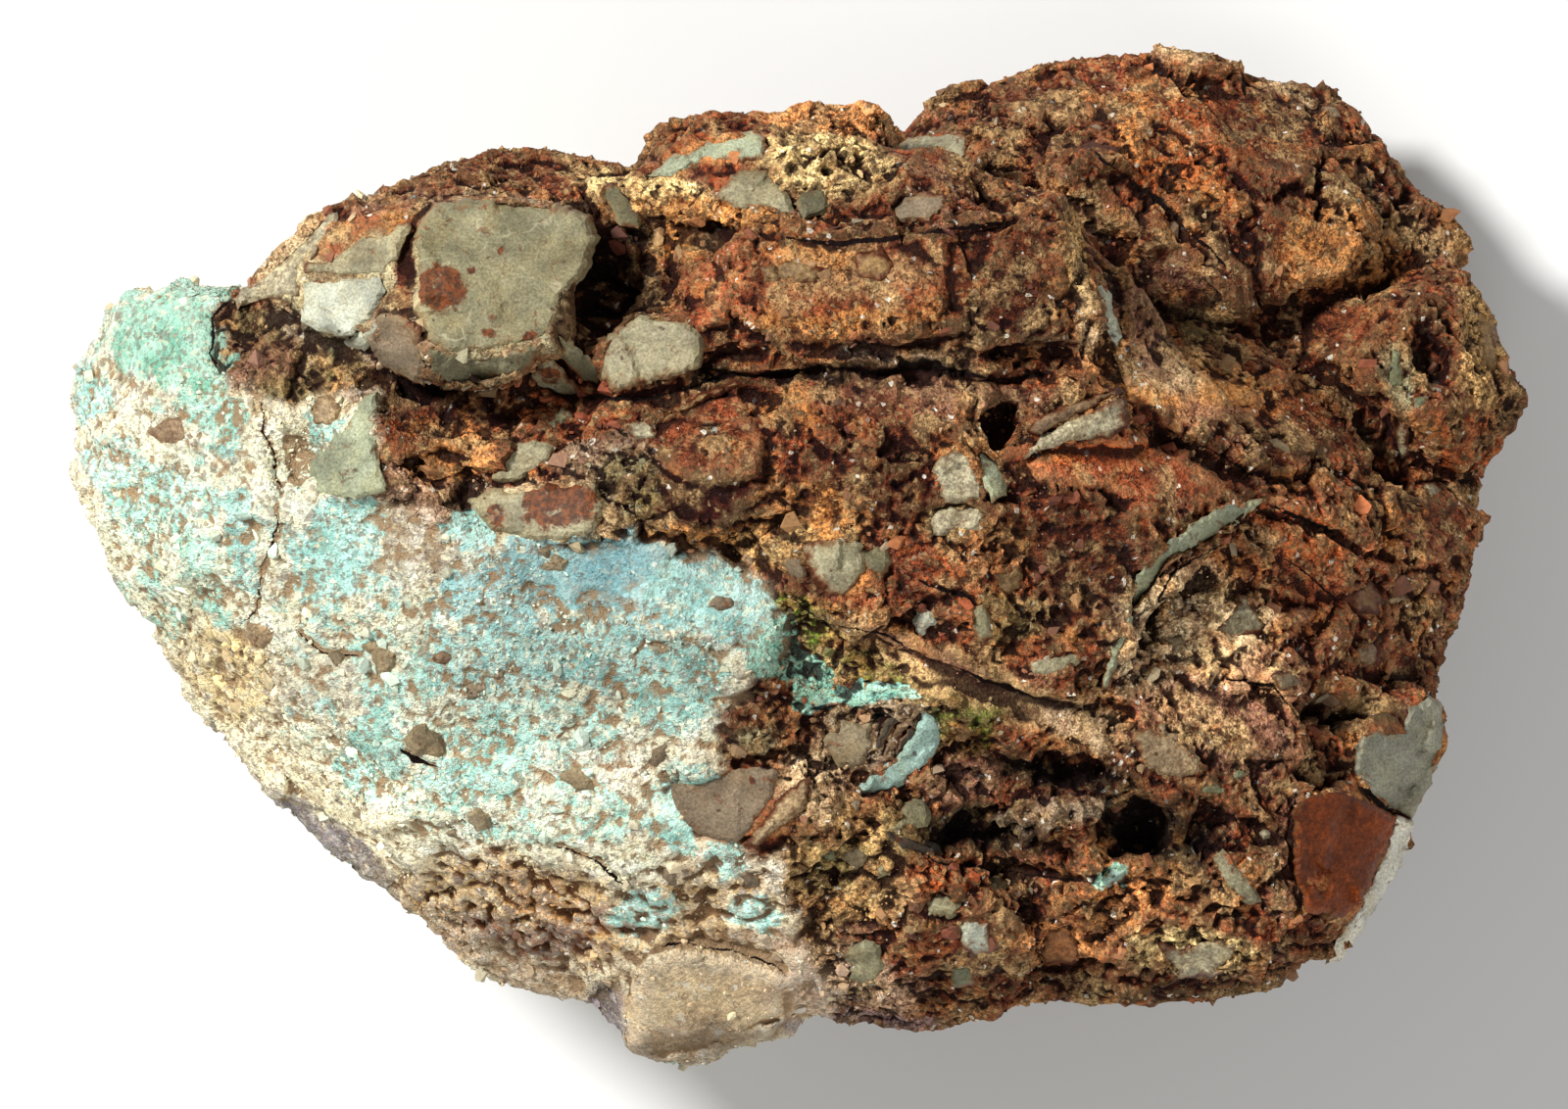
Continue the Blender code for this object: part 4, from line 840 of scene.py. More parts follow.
def carve(made):
    # shapes the skin and returns the planes its fragments lie in
    mesh = made.data
    ends = edgeEnds(mesh)
    points = smoothed(places(mesh), ends, skin["smoothRounds"])
    foot = smoothStep(*skin["footHeight"], points[:, 2])[:, None]
    points += (smoothed(points, ends, skin["footRounds"]) - points) * foot
    setPlaces(mesh, smoothed(points, ends, skin["broadRounds"]))
    outward = smoothed(normals(mesh), ends, 4)
    outward /= np.linalg.norm(outward, axis=1)[:, None]
    flat = framePoints(points)
    wander = wanderOf(points, *skin["stray"])
    up = smoothStep(0.0, 0.45, outward[:, 2])
    height = groundRelief(points, flat + wander, flat, wander, up)
    # the resting face stays nearly flat
    base = points[:, 2] < 0.6
    points = points + outward * height[:, None]
    points[base, 2] = np.clip(points[base, 2], 0, 0.2)
    points[:, 2] = np.maximum(points[:, 2], 0.0)
    flat = framePoints(points)
    flatten(points, flat, wander, outward[:, 2] > facingUp)
    planes = fragmentPlanes(flat, points[:, 2], outward)
    settleUnder(points, flat, outward, planes)
    setPlaces(mesh, points)
    return planes


def thinAway(made):
    # fewer triangles on the sides and the underside than on the showing face
    mesh = made.data
    points, outward = places(mesh), normals(mesh)
    near = 0.15 + 0.75 * smoothStep(-0.7, -0.1, outward[:, 2]) * smoothStep(0.1, 1.2, points[:, 2])
    group = made.vertex_groups.new(name="away")
    level = np.rint((1 - near) * 10)
    for share in range(1, 11):
        chosen = np.nonzero(level == share)[0]
        if len(chosen):
            group.add(chosen.tolist(), share / 10, "REPLACE")
    thin = made.modifiers.new("thin", "DECIMATE")
    thin.ratio = min(1.0, skin["finest"] / len(triangles(mesh)))
    thin.vertex_group = "away"
    thin.vertex_group_factor = 6.0
    print("skin thinned to", round(thin.ratio, 2))
    applyModifiers(made)
    made.vertex_groups.clear()


# Colours of the skin: middle, half-sizes and turn on the view frame, colour, strength.
patches = dict(
    # the pale end
    lobeGrey=(150, 560, 70, 90, 0, "cream", 0.8), lobePeach=(95, 470, 30, 60, 0, "peach", 0.6),
    lobeTop=(150, 300, 50, 20, 0, "cream", 0.8), rimTan=(330, 800, 120, 44, 40, "cream", 0.9),
    # edgeLavender and edgeLavenderLow: painted shade on the rim's underside
    rimTanLow=(250, 740, 50, 40, 40, "cream", 0.6), edgeLavender=(335, 864, 105, 20, 36, "lavender", 0.9),
    edgeLavenderLow=(430, 925, 80, 24, 36, "greyTan", 0.8), yellowNook=(236, 690, 40, 46, 0, "yellow", 0.9),
    yellowLobe=(190, 640, 50, 40, 0, "yellow", 0.5), creamSlope=(520, 760, 160, 60, -10, "cream", 0.6),
    tanSlopeLeft=(330, 690, 60, 50, 0, "tan", 0.6), tanBelowBand=(430, 556, 60, 40, 0, "greyTan", 0.85),
    tanBelowBandTwo=(470, 520, 40, 26, 0, "pinkTan", 0.8), tanLeftOfCrack=(215, 480, 40, 40, 0, "cream", 0.5),
    tanRightOfCrack=(330, 620, 40, 50, 0, "peach", 0.5), pinkUnderRust=(440, 500, 50, 30, 0, "pinkTan", 0.8),
    porousOrange=(540, 930, 130, 48, 10, "paleOchre", 0.9), porousOchre=(560, 925, 60, 26, 30, "ochre", 0.6),
    porousLow=(530, 988, 110, 26, 26, "tan", 0.95), porousDark=(566, 962, 40, 20, 0, "brown", 0.9),
    porousDarkTwo=(620, 935, 18, 16, 0, "rust", 0.8), porousDarkThree=(500, 945, 34, 12, 20, "brown", 0.8),
    lowerPeach=(720, 930, 90, 44, 0, "paleOchre", 0.8), lowerPink=(790, 985, 80, 34, 0, "pinkTan", 0.9),
    # toeLow and toeShade: painted shade on the toe's lower and left faces
    toe=(720, 1020, 120, 60, 0, "peach", 0.9), toeLow=(690, 1066, 80, 26, -10, "tan", 0.9),
    toeShade=(616, 1040, 26, 36, 0, "lavender", 0.9), whiteSlope=(600, 780, 70, 40, 0, "white", 0.5),
    # brown patch on the left lobe
    lobeBrown=(275, 355, 62, 46, 20, "greyBrown", 0.9), lobeBrownLight=(262, 330, 30, 20, 0, "moss", 0.7),
    lobeTan=(300, 330, 26, 12, 10, "greyTan", 0.8), lobeGreenDark=(344, 372, 36, 26, 0, "darkOlive", 0.9),
    lobeGreenGlow=(320, 372, 12, 16, 0, "sage", 0.7), lobeMoss=(300, 396, 40, 12, 0, "moss", 0.8),
    # upper left, round the chert
    capBrown=(480, 178, 180, 36, -4, "brown", 1.0), capDark=(420, 168, 60, 20, -10, "umber", 0.8),
    capRed=(540, 200, 80, 12, 0, "redBrown", 0.9), capGrey=(400, 208, 50, 10, -8, "greyBrown", 0.9),
    capPeach=(300, 262, 46, 44, -30, "peach", 0.9), massGround=(500, 290, 110, 90, 0, "chert", 1.0),
    massGlass=(350, 300, 62, 62, 0, "chert", 0.9), veinBrown=(412, 276, 11, 56, 2, "brown", 1.0),
    veinTop=(428, 226, 22, 12, -20, "rust", 0.9), veinOchre=(404, 230, 14, 20, 8, "ochre", 0.6),
    veinLow=(431, 352, 7, 30, 0, "umber", 0.8), veinRust=(338, 258, 18, 12, -10, "redBrown", 0.9),
    massTan=(402, 352, 40, 34, 0, "brownChert", 0.9), massStep=(490, 374, 60, 18, 0, "mossChert", 0.9),
    # underChert: umber, in part painted shadow under the chert mass
    massRim=(545, 300, 12, 50, 8, "greyTan", 0.8), underChert=(440, 425, 62, 40, 0, "umber", 1.0),
    underChertOrange=(478, 458, 28, 28, 0, "apricot", 0.9),
    underChertOchre=(452, 478, 40, 20, 0, "ochre", 0.8), underChertRust=(420, 440, 30, 24, 0, "rust", 0.7),
    pocketMaroon=(622, 282, 60, 60, 0, "maroon", 1.0), pocketRim=(660, 228, 40, 18, 0, "umber", 0.9),
    pocketLow=(585, 335, 34, 24, 0, "maroon", 0.9), rustBesidePocket=(708, 270, 48, 46, 0, "rust", 0.9),
    amberBesidePocket=(690, 250, 26, 16, 10, "ochre", 0.9),
    amberBesidePocketTwo=(726, 300, 16, 34, 10, "redBrown", 0.9),
    orangeTop=(660, 198, 70, 22, 8, "yellow", 1.0), orangeTopTwo=(700, 212, 60, 12, 6, "paleOchre", 0.9),
    ochreTop=(720, 222, 80, 16, 0, "ochre", 0.9), darkUnderTop=(760, 244, 60, 12, 0, "umber", 0.8),
    ledgeOrange=(740, 152, 46, 14, -10, "apricot", 0.8), porousLump=(840, 168, 76, 34, 4, "yellow", 1.0),
    backKnob=(850, 114, 80, 22, 0, "apricot", 0.95),
    # the bedded plates
    plateTop=(880, 280, 150, 40, 0, "redBrown", 0.8), plateThrough=(860, 276, 100, 26, 0, "through", 0.6),
    plateOchreTop=(820, 262, 60, 12, 6, "ochre", 0.6), plateRust=(960, 250, 70, 22, 0, "redBrown", 0.8),
    plateTopLeft=(752, 300, 34, 60, 10, "redBrown", 0.8), plateOchre=(850, 330, 90, 14, 0, "ochre", 0.7),
    plateDark=(1030, 270, 60, 46, 0, "brown", 0.9), plateBlackish=(1010, 322, 60, 18, 4, "umber", 0.9),
    plateDarkEdge=(1070, 330, 50, 40, 0, "umber", 0.9), plateRim=(1098, 262, 14, 50, -6, "paleOchre", 1.0),
    # ledgeDark, ledgeDarkTwo and ledgeDarkUpper: painted shadow along the ledges
    plateRimLow=(1108, 330, 10, 40, -4, "peach", 0.8), ledgeDark=(890, 380, 220, 10, 0, "maroon", 1.0),
    ledgeDarkTwo=(1010, 342, 110, 12, 4, "maroon", 0.9), ledgeDarkUpper=(920, 238, 130, 7, -4, "maroon", 0.8),
    lowerPlate=(900, 402, 170, 20, 2, "greyBrown", 0.9), lowerPlatePale=(920, 366, 70, 12, 6, "greyTan", 0.9),
    lowerPlateRust=(800, 395, 60, 30, 0, "rust", 0.8), plateRight=(1060, 380, 50, 20, 0, "redBrown", 0.8),
    beddedRust=(840, 450, 110, 34, 0, "rust", 0.9), beddedOchre=(810, 420, 30, 20, 20, "ochre", 0.6),
    beddedBrown=(900, 440, 60, 40, 0, "brown", 0.8), beddedDark=(890, 500, 90, 36, 20, "umber", 0.85),
    centreOchre=(830, 530, 60, 34, 0, "ochre", 0.8), centreTan=(790, 560, 60, 20, 0, "paleOchre", 0.8),
    centreRust=(930, 570, 50, 40, 0, "rust", 0.8), centreRed=(900, 625, 40, 26, 0, "redBrown", 0.8),
    creamRight=(975, 530, 34, 18, 0, "yellow", 0.8), blockGround=(722, 450, 66, 66, 0, "brown", 1.0),
    blockUpper=(716, 430, 40, 22, -16, "redBrown", 0.7), blockDeep=(722, 512, 54, 40, 0, "maroon", 1.0),
    blockLow=(700, 548, 50, 12, 4, "ochre", 0.9), middleTan=(616, 474, 54, 30, 0, "greyTan", 0.8),
    middleOchre=(640, 500, 34, 40, 0, "moss", 0.7), middleRust=(560, 404, 50, 34, 0, "redBrown", 0.9),
    middleRustTwo=(610, 430, 40, 18, 0, "rust", 0.9), spottedGround=(560, 525, 84, 34, 0, "paleChert", 0.9),
    spottedRust=(572, 514, 30, 18, 0, "rust", 0.8), seamRust=(600, 402, 80, 10, 0, "rust", 0.9),
    # the slab and the ground to its right
    slabTop=(1150, 474, 130, 34, 10, "redBrown", 1.0), slabOrange=(1120, 462, 60, 12, -4, "orange", 0.7),
    slabTip=(1240, 500, 50, 26, 20, "rust", 0.8), slabFront=(1080, 550, 70, 60, 0, "brown", 0.9),
    slabFrontRed=(1070, 520, 60, 20, 10, "rust", 0.8), slabFrontDark=(1120, 610, 46, 50, 0, "umber", 0.9),
    slabFleck=(1010, 560, 40, 24, 0, "paleOchre", 0.6), slabRust=(1000, 590, 50, 50, 0, "orange", 0.5),
    slabSpot=(1030, 630, 40, 26, 0, "moss", 0.7), belowSlab=(1210, 650, 80, 70, 0, "clay", 0.9),
    belowSlabBrown=(1250, 670, 50, 30, 0, "through", 0.6), belowSlabPale=(1190, 690, 46, 34, 0, "clay", 0.8),
    belowSlabDark=(1290, 640, 20, 40, -40, "umber", 0.8), tanTriangle=(1262, 636, 34, 24, 0, "peach", 0.8),
    rightBrown=(1340, 560, 80, 60, 20, "redBrown", 0.9), rightOrange=(1340, 548, 50, 22, 24, "orange", 0.8),
    rightDark=(1400, 650, 60, 54, 0, "brown", 0.85), rightGreyish=(1290, 710, 50, 50, 0, "greyBrown", 0.8),
    rightGround=(1310, 760, 60, 50, 0, "brown", 0.8),
    # the far lobe
    rearTop=(1180, 75, 120, 26, 0, "redBrown", 0.8), rearPaleTop=(1200, 52, 40, 8, 10, "peach", 0.7),
    rearBrown=(1080, 120, 100, 50, 0, "brown", 0.7), rearOrange=(1200, 150, 60, 50, 0, "orange", 0.6),
    rearOchreStreak=(1160, 120, 20, 50, 10, "ochre", 0.6), rearUmber=(1290, 140, 50, 60, 0, "umber", 0.7),
    rearPaleFleck=(1310, 90, 40, 8, 30, "peach", 0.6), rearDarkFace=(1220, 300, 84, 48, 0, "umber", 0.9),
    rearDarkGrey=(1200, 280, 40, 20, 0, "greyBrown", 0.6), rearOchre=(1370, 260, 60, 60, 0, "ochre", 0.6),
    rearMoss=(1230, 330, 30, 20, 0, "moss", 0.5), saddleOchre=(1220, 395, 110, 30, 16, "ochre", 0.9),
    saddleTan=(1190, 380, 40, 20, 30, "clay", 0.7), saddleGreyBrown=(1260, 430, 60, 16, 16, "greyBrown", 0.8),
    saddleRust=(1330, 420, 60, 30, 0, "rust", 0.6), blockRear=(1370, 330, 54, 40, 0, "brown", 0.9),
    underCliff=(1160, 340, 30, 50, 0, "greyBrown", 0.8),
    shoulderOchre=(1512, 350, 24, 80, 0, "paleOchre", 0.9), shoulderDark=(1462, 350, 18, 46, 0, "umber", 1.0),
    shoulderGreen=(1428, 380, 22, 36, 0, "sage", 0.8), shoulderRust=(1500, 460, 40, 40, 0, "orange", 0.6),
    rightRim=(1480, 560, 50, 60, 0, "brown", 0.8),
    # lower front
    oliveBand=(868, 656, 70, 26, 20, "olive", 0.95), oliveDeep=(824, 632, 36, 22, 20, "mossGreen", 0.95),
    oliveLow=(880, 684, 60, 12, 10, "mossGreen", 0.8), oliveRight=(974, 726, 46, 36, 20, "mossGreen", 1.0),
    bandTan=(1000, 698, 170, 22, 24, "through", 1.0), bandBrown=(940, 664, 90, 9, 24, "greyBrown", 0.9),
    bandTanRight=(1110, 740, 56, 22, 20, "tan", 0.9), bandEdge=(880, 630, 60, 5, 18, "ochre", 0.8),
    shadeLeft=(768, 736, 36, 40, 0, "umber", 0.9), shadeLeftPale=(770, 760, 26, 14, 0, "sage", 0.7),
    crescentGround=(890, 750, 60, 40, -20, "greyTan", 1.0), crescentDark=(976, 758, 20, 30, 20, "umber", 0.8),
    besideCave=(980, 796, 40, 24, 0, "greyBrown", 0.9), ochreLower=(870, 880, 70, 60, 0, "paleOchre", 0.9),
    ochreLowerMoss=(850, 880, 40, 30, 0, "moss", 0.7), ochreLowerDark=(830, 850, 36, 14, 0, "umber", 0.8),
    paleLowerLeft=(830, 800, 40, 40, 0, "peach", 0.8), greyLower=(930, 850, 34, 40, 0, "moss", 0.6),
    # caveDark, caveUpper and caveRight: painted shade in the caves
    caveDark=(1000, 846, 62, 26, 8, "nearBlack", 1.0), caveUpper=(1085, 790, 72, 18, 6, "nearBlack", 0.9),
    caveRight=(1176, 850, 66, 34, 16, "nearBlack", 1.0), caveRidge=(1070, 832, 64, 14, -6, "greyTan", 0.9),
    lowerBrown=(1240, 740, 90, 44, 20, "greyBrown", 0.9), lowerTan=(1230, 740, 60, 24, 30, "through", 0.6),
    rubbleRust=(1000, 890, 90, 24, 8, "rust", 0.95), rubbleOrangeFleck=(960, 900, 50, 14, 8, "orange", 0.7),
    rubbleMaroon=(1030, 940, 60, 40, 0, "umber", 0.85), rubbleOrange=(1080, 964, 50, 22, 0, "apricot", 0.8),
    rubbleOrangeRight=(1200, 915, 80, 26, 10, "apricot", 0.85),
    rubbleBrownRight=(1240, 935, 60, 14, 10, "rust", 0.8), rubbleCream=(1215, 972, 66, 24, 6, "yellow", 0.9),
    # rubbleDark: painted shade along the bottom cave
    rubbleDark=(1210, 1012, 130, 12, 0, "nearBlack", 0.9),
    rubbleDarkLeft=(1010, 1000, 70, 26, 0, "umber", 0.8), bottomPink=(860, 1010, 80, 30, 0, "pinkTan", 0.85),
    # bottomDark: painted shade on the lower edge
    bottomDark=(870, 1046, 90, 10, 0, "lavender", 0.8), cornerBrown=(1350, 960, 40, 30, 0, "brown", 0.8),
    # edgeCave: painted shade in the cave at the edge
    cornerLeft=(1310, 880, 20, 60, 0, "greyBrown", 0.8), edgeCave=(1376, 728, 54, 18, 0, "nearBlack", 1.0),
    edgeNook=(1350, 790, 32, 14, 0, "maroon", 1.0),
)

# Where the turquoise lies: middle, half-sizes, turn, how much of the ground it covers, how green.
turquoisePatches = dict(
    lobeTop=(205, 292, 50, 18, 0, 0.85, 0.5), lobeMain=(165, 345, 70, 46, -10, 0.92, 0.8),
    lobeRight=(195, 375, 46, 40, 0, 0.88, 0.85), lobeLeft=(118, 330, 40, 40, 0, 0.6, 0.45),
    lobeMiddle=(210, 420, 50, 22, 0, 0.72, 0.45), lobeEdge=(88, 400, 22, 40, 0, 0.6, 0.1),
    lobeLow=(110, 470, 30, 40, 0, 0.62, 0.1), lobeFace=(160, 520, 70, 60, 0, 0.58, 0.3),
    lobeFoot=(190, 590, 60, 50, 0, 0.46, 0.5), crackLeft=(245, 550, 14, 60, -8, 0.95, 0.05),
    wedgeTop=(328, 440, 20, 26, 0, 0.85, 0.2), besideCrack=(340, 560, 44, 62, 0, 0.9, 0.1),
    besideCrackTwo=(360, 520, 30, 20, 0, 0.85, 0.1), bandLeft=(480, 540, 26, 18, 0, 0.95, 0.05),
    bandUpper=(600, 578, 130, 34, 0, 1.0, -0.7), bandFlake=(640, 600, 54, 36, 0, 0.95, -0.8),
    bandMiddle=(500, 615, 60, 36, 0, 0.86, -0.5), bandRight=(740, 620, 66, 44, 10, 1.05, -0.1),
    bandGreen=(790, 660, 30, 34, 0, 0.95, 0.75), middle=(560, 670, 170, 44, 0, 0.74, -0.1),
    slopeRight=(690, 700, 60, 60, 0, 0.72, 0.15), slopeLeft=(400, 690, 60, 60, 0, 0.58, 0.25),
    slopeLowLeft=(385, 770, 34, 56, 20, 0.92, 0.3), slopeMiddle=(520, 740, 120, 36, 0, 0.66, 0.2),
    slopeLow=(480, 795, 60, 26, 0, 0.8, 0.2), slopeFoot=(560, 830, 120, 40, 0, 0.52, 0.35),
    slopeFootRight=(690, 820, 40, 60, 20, 0.62, 0.2), chipLow=(655, 932, 32, 26, 0, 1.2, 0.1),
    chipLowRight=(771, 936, 26, 20, 0, 1.2, 0.15), chipMiddle=(740, 880, 20, 22, 0, 0.85, 0.2),
    plate=(626, 580, 66, 28, 0, 1.3, -1.0), shard=(668, 598, 18, 36, 30, 1.3, 0.0),
    strip=(884, 708, 64, 13, -4, 1.5, 0.6), stripLow=(826, 696, 24, 34, 30, 1.3, 0.7),
    fleckRight=(1134, 894, 18, 11, -20, 0.9, 0.8),
)


# Bare ground without any turquoise dusting: middle, half-sizes, turn, how bare.
barePatches = dict(
    toe=(720, 1030, 130, 70, 0, 1.0), porous=(540, 930, 150, 60, 10, 1.0),
    porousLow=(530, 990, 120, 34, 26, 1.0), rim=(330, 840, 190, 46, 38, 0.9), nook=(220, 700, 70, 60, 0, 0.8),
    lower=(770, 950, 110, 80, 0, 1.0), nearBrown=(430, 540, 60, 40, 0, 0.6),
)

# Lighter and darker ground, in part painted light and shade: middle, half-sizes, turn, change of light.
# painted shade in the caves, the pocket, under the chert, along the ledge, on the toe's lower and left faces
# and the rim's underside; painted light below the slab and on the right
gainPatches = dict(
    belowSlab=(1225, 670, 100, 84, 0, 0.85), right=(1370, 620, 130, 120, 0, 0.42),
    slabTop=(1150, 476, 120, 32, 10, 0.25), olive=(880, 670, 90, 40, 20, 0.3),
    bandTan=(1010, 704, 150, 26, 24, 0.3), rubble=(1040, 915, 170, 60, 6, 0.28),
    backKnob=(850, 114, 90, 24, 0, 0.25), topOrange=(690, 205, 90, 24, 6, 0.4),
    lump=(840, 166, 76, 34, 0, 0.2), rim=(320, 790, 130, 50, 40, 0.22), slopeLow=(520, 810, 150, 50, 0, 0.2),
    chipLow=(655, 932, 34, 28, 0, 0.5), chipLowRight=(771, 936, 30, 24, 0, 0.5),
    lobeLow=(110, 470, 50, 90, 0, 0.18), lobeEdge=(160, 560, 80, 80, 0, 0.12),
    toe=(720, 1010, 120, 60, 0, -0.2), toeLow=(720, 1068, 100, 18, -8, -0.4),
    toeLeft=(616, 1036, 22, 44, 0, -0.35), rimShade=(335, 868, 110, 20, 36, -0.35),
    plateDark=(1030, 280, 60, 60, 0, -0.25), slabFront=(1090, 560, 80, 60, 0, -0.25),
    plateTop=(870, 285, 90, 40, 0, -0.15), rearTop=(1180, 85, 130, 40, 0, 0.15),
    saddle=(1220, 395, 120, 38, 16, 0.7), bandBlue=(620, 588, 110, 36, 0, -0.2),
    lobeGreen=(165, 345, 76, 46, 0, -0.22), slopeMiddle=(600, 680, 150, 60, 0, -0.22),
    bandRight=(740, 640, 60, 60, 0, -0.15), cave=(1000, 850, 70, 30, 8, -0.6),
    caveUpper=(1085, 790, 84, 22, 6, -0.6), caveRight=(1176, 850, 70, 40, 16, -0.6),
    pocket=(622, 285, 50, 50, 0, -0.4), underChert=(450, 398, 80, 16, 0, -0.5),
    ledge=(900, 380, 210, 9, 0, -0.5), lobeBrown=(275, 355, 60, 44, 20, -0.2),
)

# Ground riddled with small holes: middle, half-sizes, turn, how strongly.
porousPatches = dict(
    lump=(840, 166, 76, 36, 0, 1.0), orange=(540, 928, 130, 46, 12, 1.0),
    slabFront=(1090, 570, 70, 60, 0, 0.6), lowerOchre=(880, 880, 60, 44, 0, 0.8),
    rubble=(1020, 915, 100, 36, 6, 0.7), rubbleRight=(1200, 925, 80, 30, 8, 0.9),
    belowSlab=(1210, 650, 60, 60, 0, 0.6), underChert=(450, 440, 60, 40, 0, 0.6),
    right=(1400, 620, 80, 80, 0, 0.5), lowerPeach=(720, 920, 90, 40, 0, 0.7),
    middle=(640, 500, 40, 40, 0, 0.7), centre=(900, 500, 90, 50, 20, 0.5), pocket=(622, 290, 60, 56, 0, 0.8),
    blockDeep=(722, 512, 54, 36, 0, 0.8), capDark=(470, 172, 120, 24, -6, 0.4),
)


def mixed(colours, other, share):
    return colours + (tone[other] - colours) * np.clip(share, 0, 1)[:, None]


painting = {
    "stray": (26, 9),           # frame points that borders stray, broadly and finely
    "border": 9,                # frame points over which pale and brown mix
    # round the sides the border runs on down through the stone: where, its slant, how far it strays
    "sideBorder": (6, 10), "sideSlant": 0.35, "sideStray": 300,
    "dusting": 0.36,            # thin turquoise over the whole pale end
    "mintWash": 0.72,           # pale green round the crusts
    "sideCrust": 0.7,           # crusts on the sides
    "crackLine": 0.62, "crackFar": 40,
}
# What lies over each ground's first colour: colour, noise and its sign, from where to where, strength.
browns = [("redBrown", "other", 1, 0.0, 0.25, 0.6), ("umber", "blotch", 1, 0.0, 0.25, 0.9),
          ("ochre", "blotch", -1, 0.05, 0.3, 0.7), ("greyBrown", "other", -1, 0.12, 0.3, 0.6),
          ("maroon", "fine", 1, 0.14, 0.3, 0.6)]
pales = [("peach", "blotch", 1, 0.0, 0.25, 0.6), ("greyTan", "fine", 1, 0.06, 0.25, 0.4),
         ("white", "fine", -1, 0.05, 0.3, 0.7)]


def groundColours(first, layers, fields):
    colours = np.tile(tone[first], (len(fields["fine"]), 1))
    for shade, field, sign, low, high, strength in layers:
        colours = mixed(colours, shade, smoothStep(low, high, sign * fields[field]) * strength)
    return colours


def skinColours(points, flat, wander, pale, onTop):
    fields = {"blotch": turbulence(points, 5.0, 51.0, 3), "fine": turbulence(points, 1.8, 61.0, 2),
              "other": turbulence(points, 3.4, 91.0, 3)}
    stained = groundColours("rust", browns, fields)
    altered = mixed(groundColours("cream", pales, fields), "tan", (1 - onTop) * 0.5)
    colours = stained + (altered - stained) * pale[:, None]
    for patch in patches.values():
        # small patches keep closer to their place
        stray = min(1.0, 0.2 + min(patch[2], patch[3]) / 45)
        share = smoothStep(1.2, 0.75, patchReach(flat + wander * stray, patch)) * patch[6] * onTop
        colours = mixed(colours, patch[5], share)
    # mottling that runs through the patches, on the brown ground most
    for shade, size, seed, octaves, low, high, strength, spared in (
        ("through", 3.4, 131.0, 4, 0.10, 0.20, 0.7, 1.0),
        ("ochre", 2.6, 111.0, 3, 0.16, 0.30, 0.4, 0.6),
        ("umber", 2.4, 121.0, 3, 0.08, 0.22, 0.6, 1.0),
    ):
        mottle = smoothStep(low, high, turbulence(points, size, seed, octaves)) * strength
        colours = mixed(colours, shade, mottle * (1 - spared * pale))
    return colours


def crustCover(moved, pale, onTop, edge):
    # how thick the turquoise lies, and how green it is
    cover, green = np.zeros(len(moved)), np.zeros(len(moved))
    for patch in turquoisePatches.values():
        share = smoothStep(1.25, 0.6, patchReach(moved, patch)) * onTop
        stronger = share * patch[5] > cover
        cover = np.maximum(cover, share * patch[5])
        green = np.where(stronger, patch[6], green)
    bare = patchShare(barePatches, moved, 1.2, 0.8)
    dusting = painting["dusting"] * pale * onTop * smoothStep(-10, -90, edge) * (1 - bare)
    return np.maximum(cover * 1.06, dusting), green


def crackLines(moved, onTop):
    # on which side of the nearest crack each point lies and how far off, and the crack's half-width
    farthest = painting["crackFar"]
    side, wide = np.full(len(moved), float(farthest)), np.zeros(len(moved))
    for line, width in cracks.values():
        away, along, turned = lineDistance(moved, line)
        nearer = away < np.abs(side)
        side = np.where(nearer, away * turned, side)
        half = width * view["pointsPerMm"] * painting["crackLine"] * lineTaper(along)
        wide = np.where(nearer, half * (onTop > 0.5) * (away < 14), wide)
    return np.clip(side, -farthest, farthest), wide


def paintSkin(made):
    mesh = made.data
    points, ends = places(mesh), edgeEnds(mesh)
    outward = normals(mesh)
    flat = framePoints(points)
    wander = wanderOf(points, *painting["stray"])
    moved = flat + wander
    broad = smoothed(outward, ends, 12)
    onTop = smoothStep(-0.2, 0.15, broad[:, 2]) * smoothStep(2, 7, points[:, 2])
    edge = outlineDistance(moved, paleOutline)
    across, along = painting["sideBorder"]
    scale = view["pointsPerMm"]
    through = (points[:, 0] + across) * scale + painting["sideSlant"] * (points[:, 1] + along) * scale
    through += painting["sideStray"] * turbulence(points, 13.0, 171.0, 4)
    pale = smoothStep(painting["border"], -painting["border"], edge * onTop + through * (1 - onTop))
    colours = skinColours(points, flat, wander, pale, onTop)
    cover, green = crustCover(moved, pale, onTop, edge)
    # lighter and darker ground, in part painted light and shade
    gain = np.ones(len(points))
    for patch in gainPatches.values():
        gain *= 1 + patch[5] * smoothStep(1.3, 0.6, patchReach(moved, patch)) * onTop
    colours = mixed(colours, "mint", np.clip(cover, 0, 1) * painting["mintWash"] * pale)
    onSides = smoothStep(0.08, 0.3, turbulence(points, 9.0, 81.0, 2)) * pale * (1 - onTop)
    cover = np.maximum(cover, onSides * painting["sideCrust"])
    # what lies low and what stands up, finely and broadly, for the painted shade in hollows and the painted
    # highlight on ridges
    lower = smoothed(points, ends, 4) - points
    deeper = smoothed(points, ends, 28) - points
    hollow = (lower * outward).sum(1) * 2.6 + (deeper * broad).sum(1) * 0.8
    crackSide, crackWide = crackLines(flat + wander * 0.2, onTop)
    calm = calmness(moved) * onTop
    setColours(mesh, "ground", colours)
    for name, numbers in (
        ("pale", pale), ("gain", gain), ("cover", cover), ("green", smoothed(green[:, None], ends, 3)[:, 0]),
        ("hollow", np.clip(hollow, -1, 1)), ("crackSide", crackSide), ("crackWide", crackWide),
        ("calm", calm), ("pores", patchShare(porousPatches, moved) * onTop),
    ):
        setNumbers(mesh, name, numbers)
    return {"calm": calm, "points": points, "ground": colours * gain[:, None],
            "pale": pale, "cover": cover, "onTop": onTop}


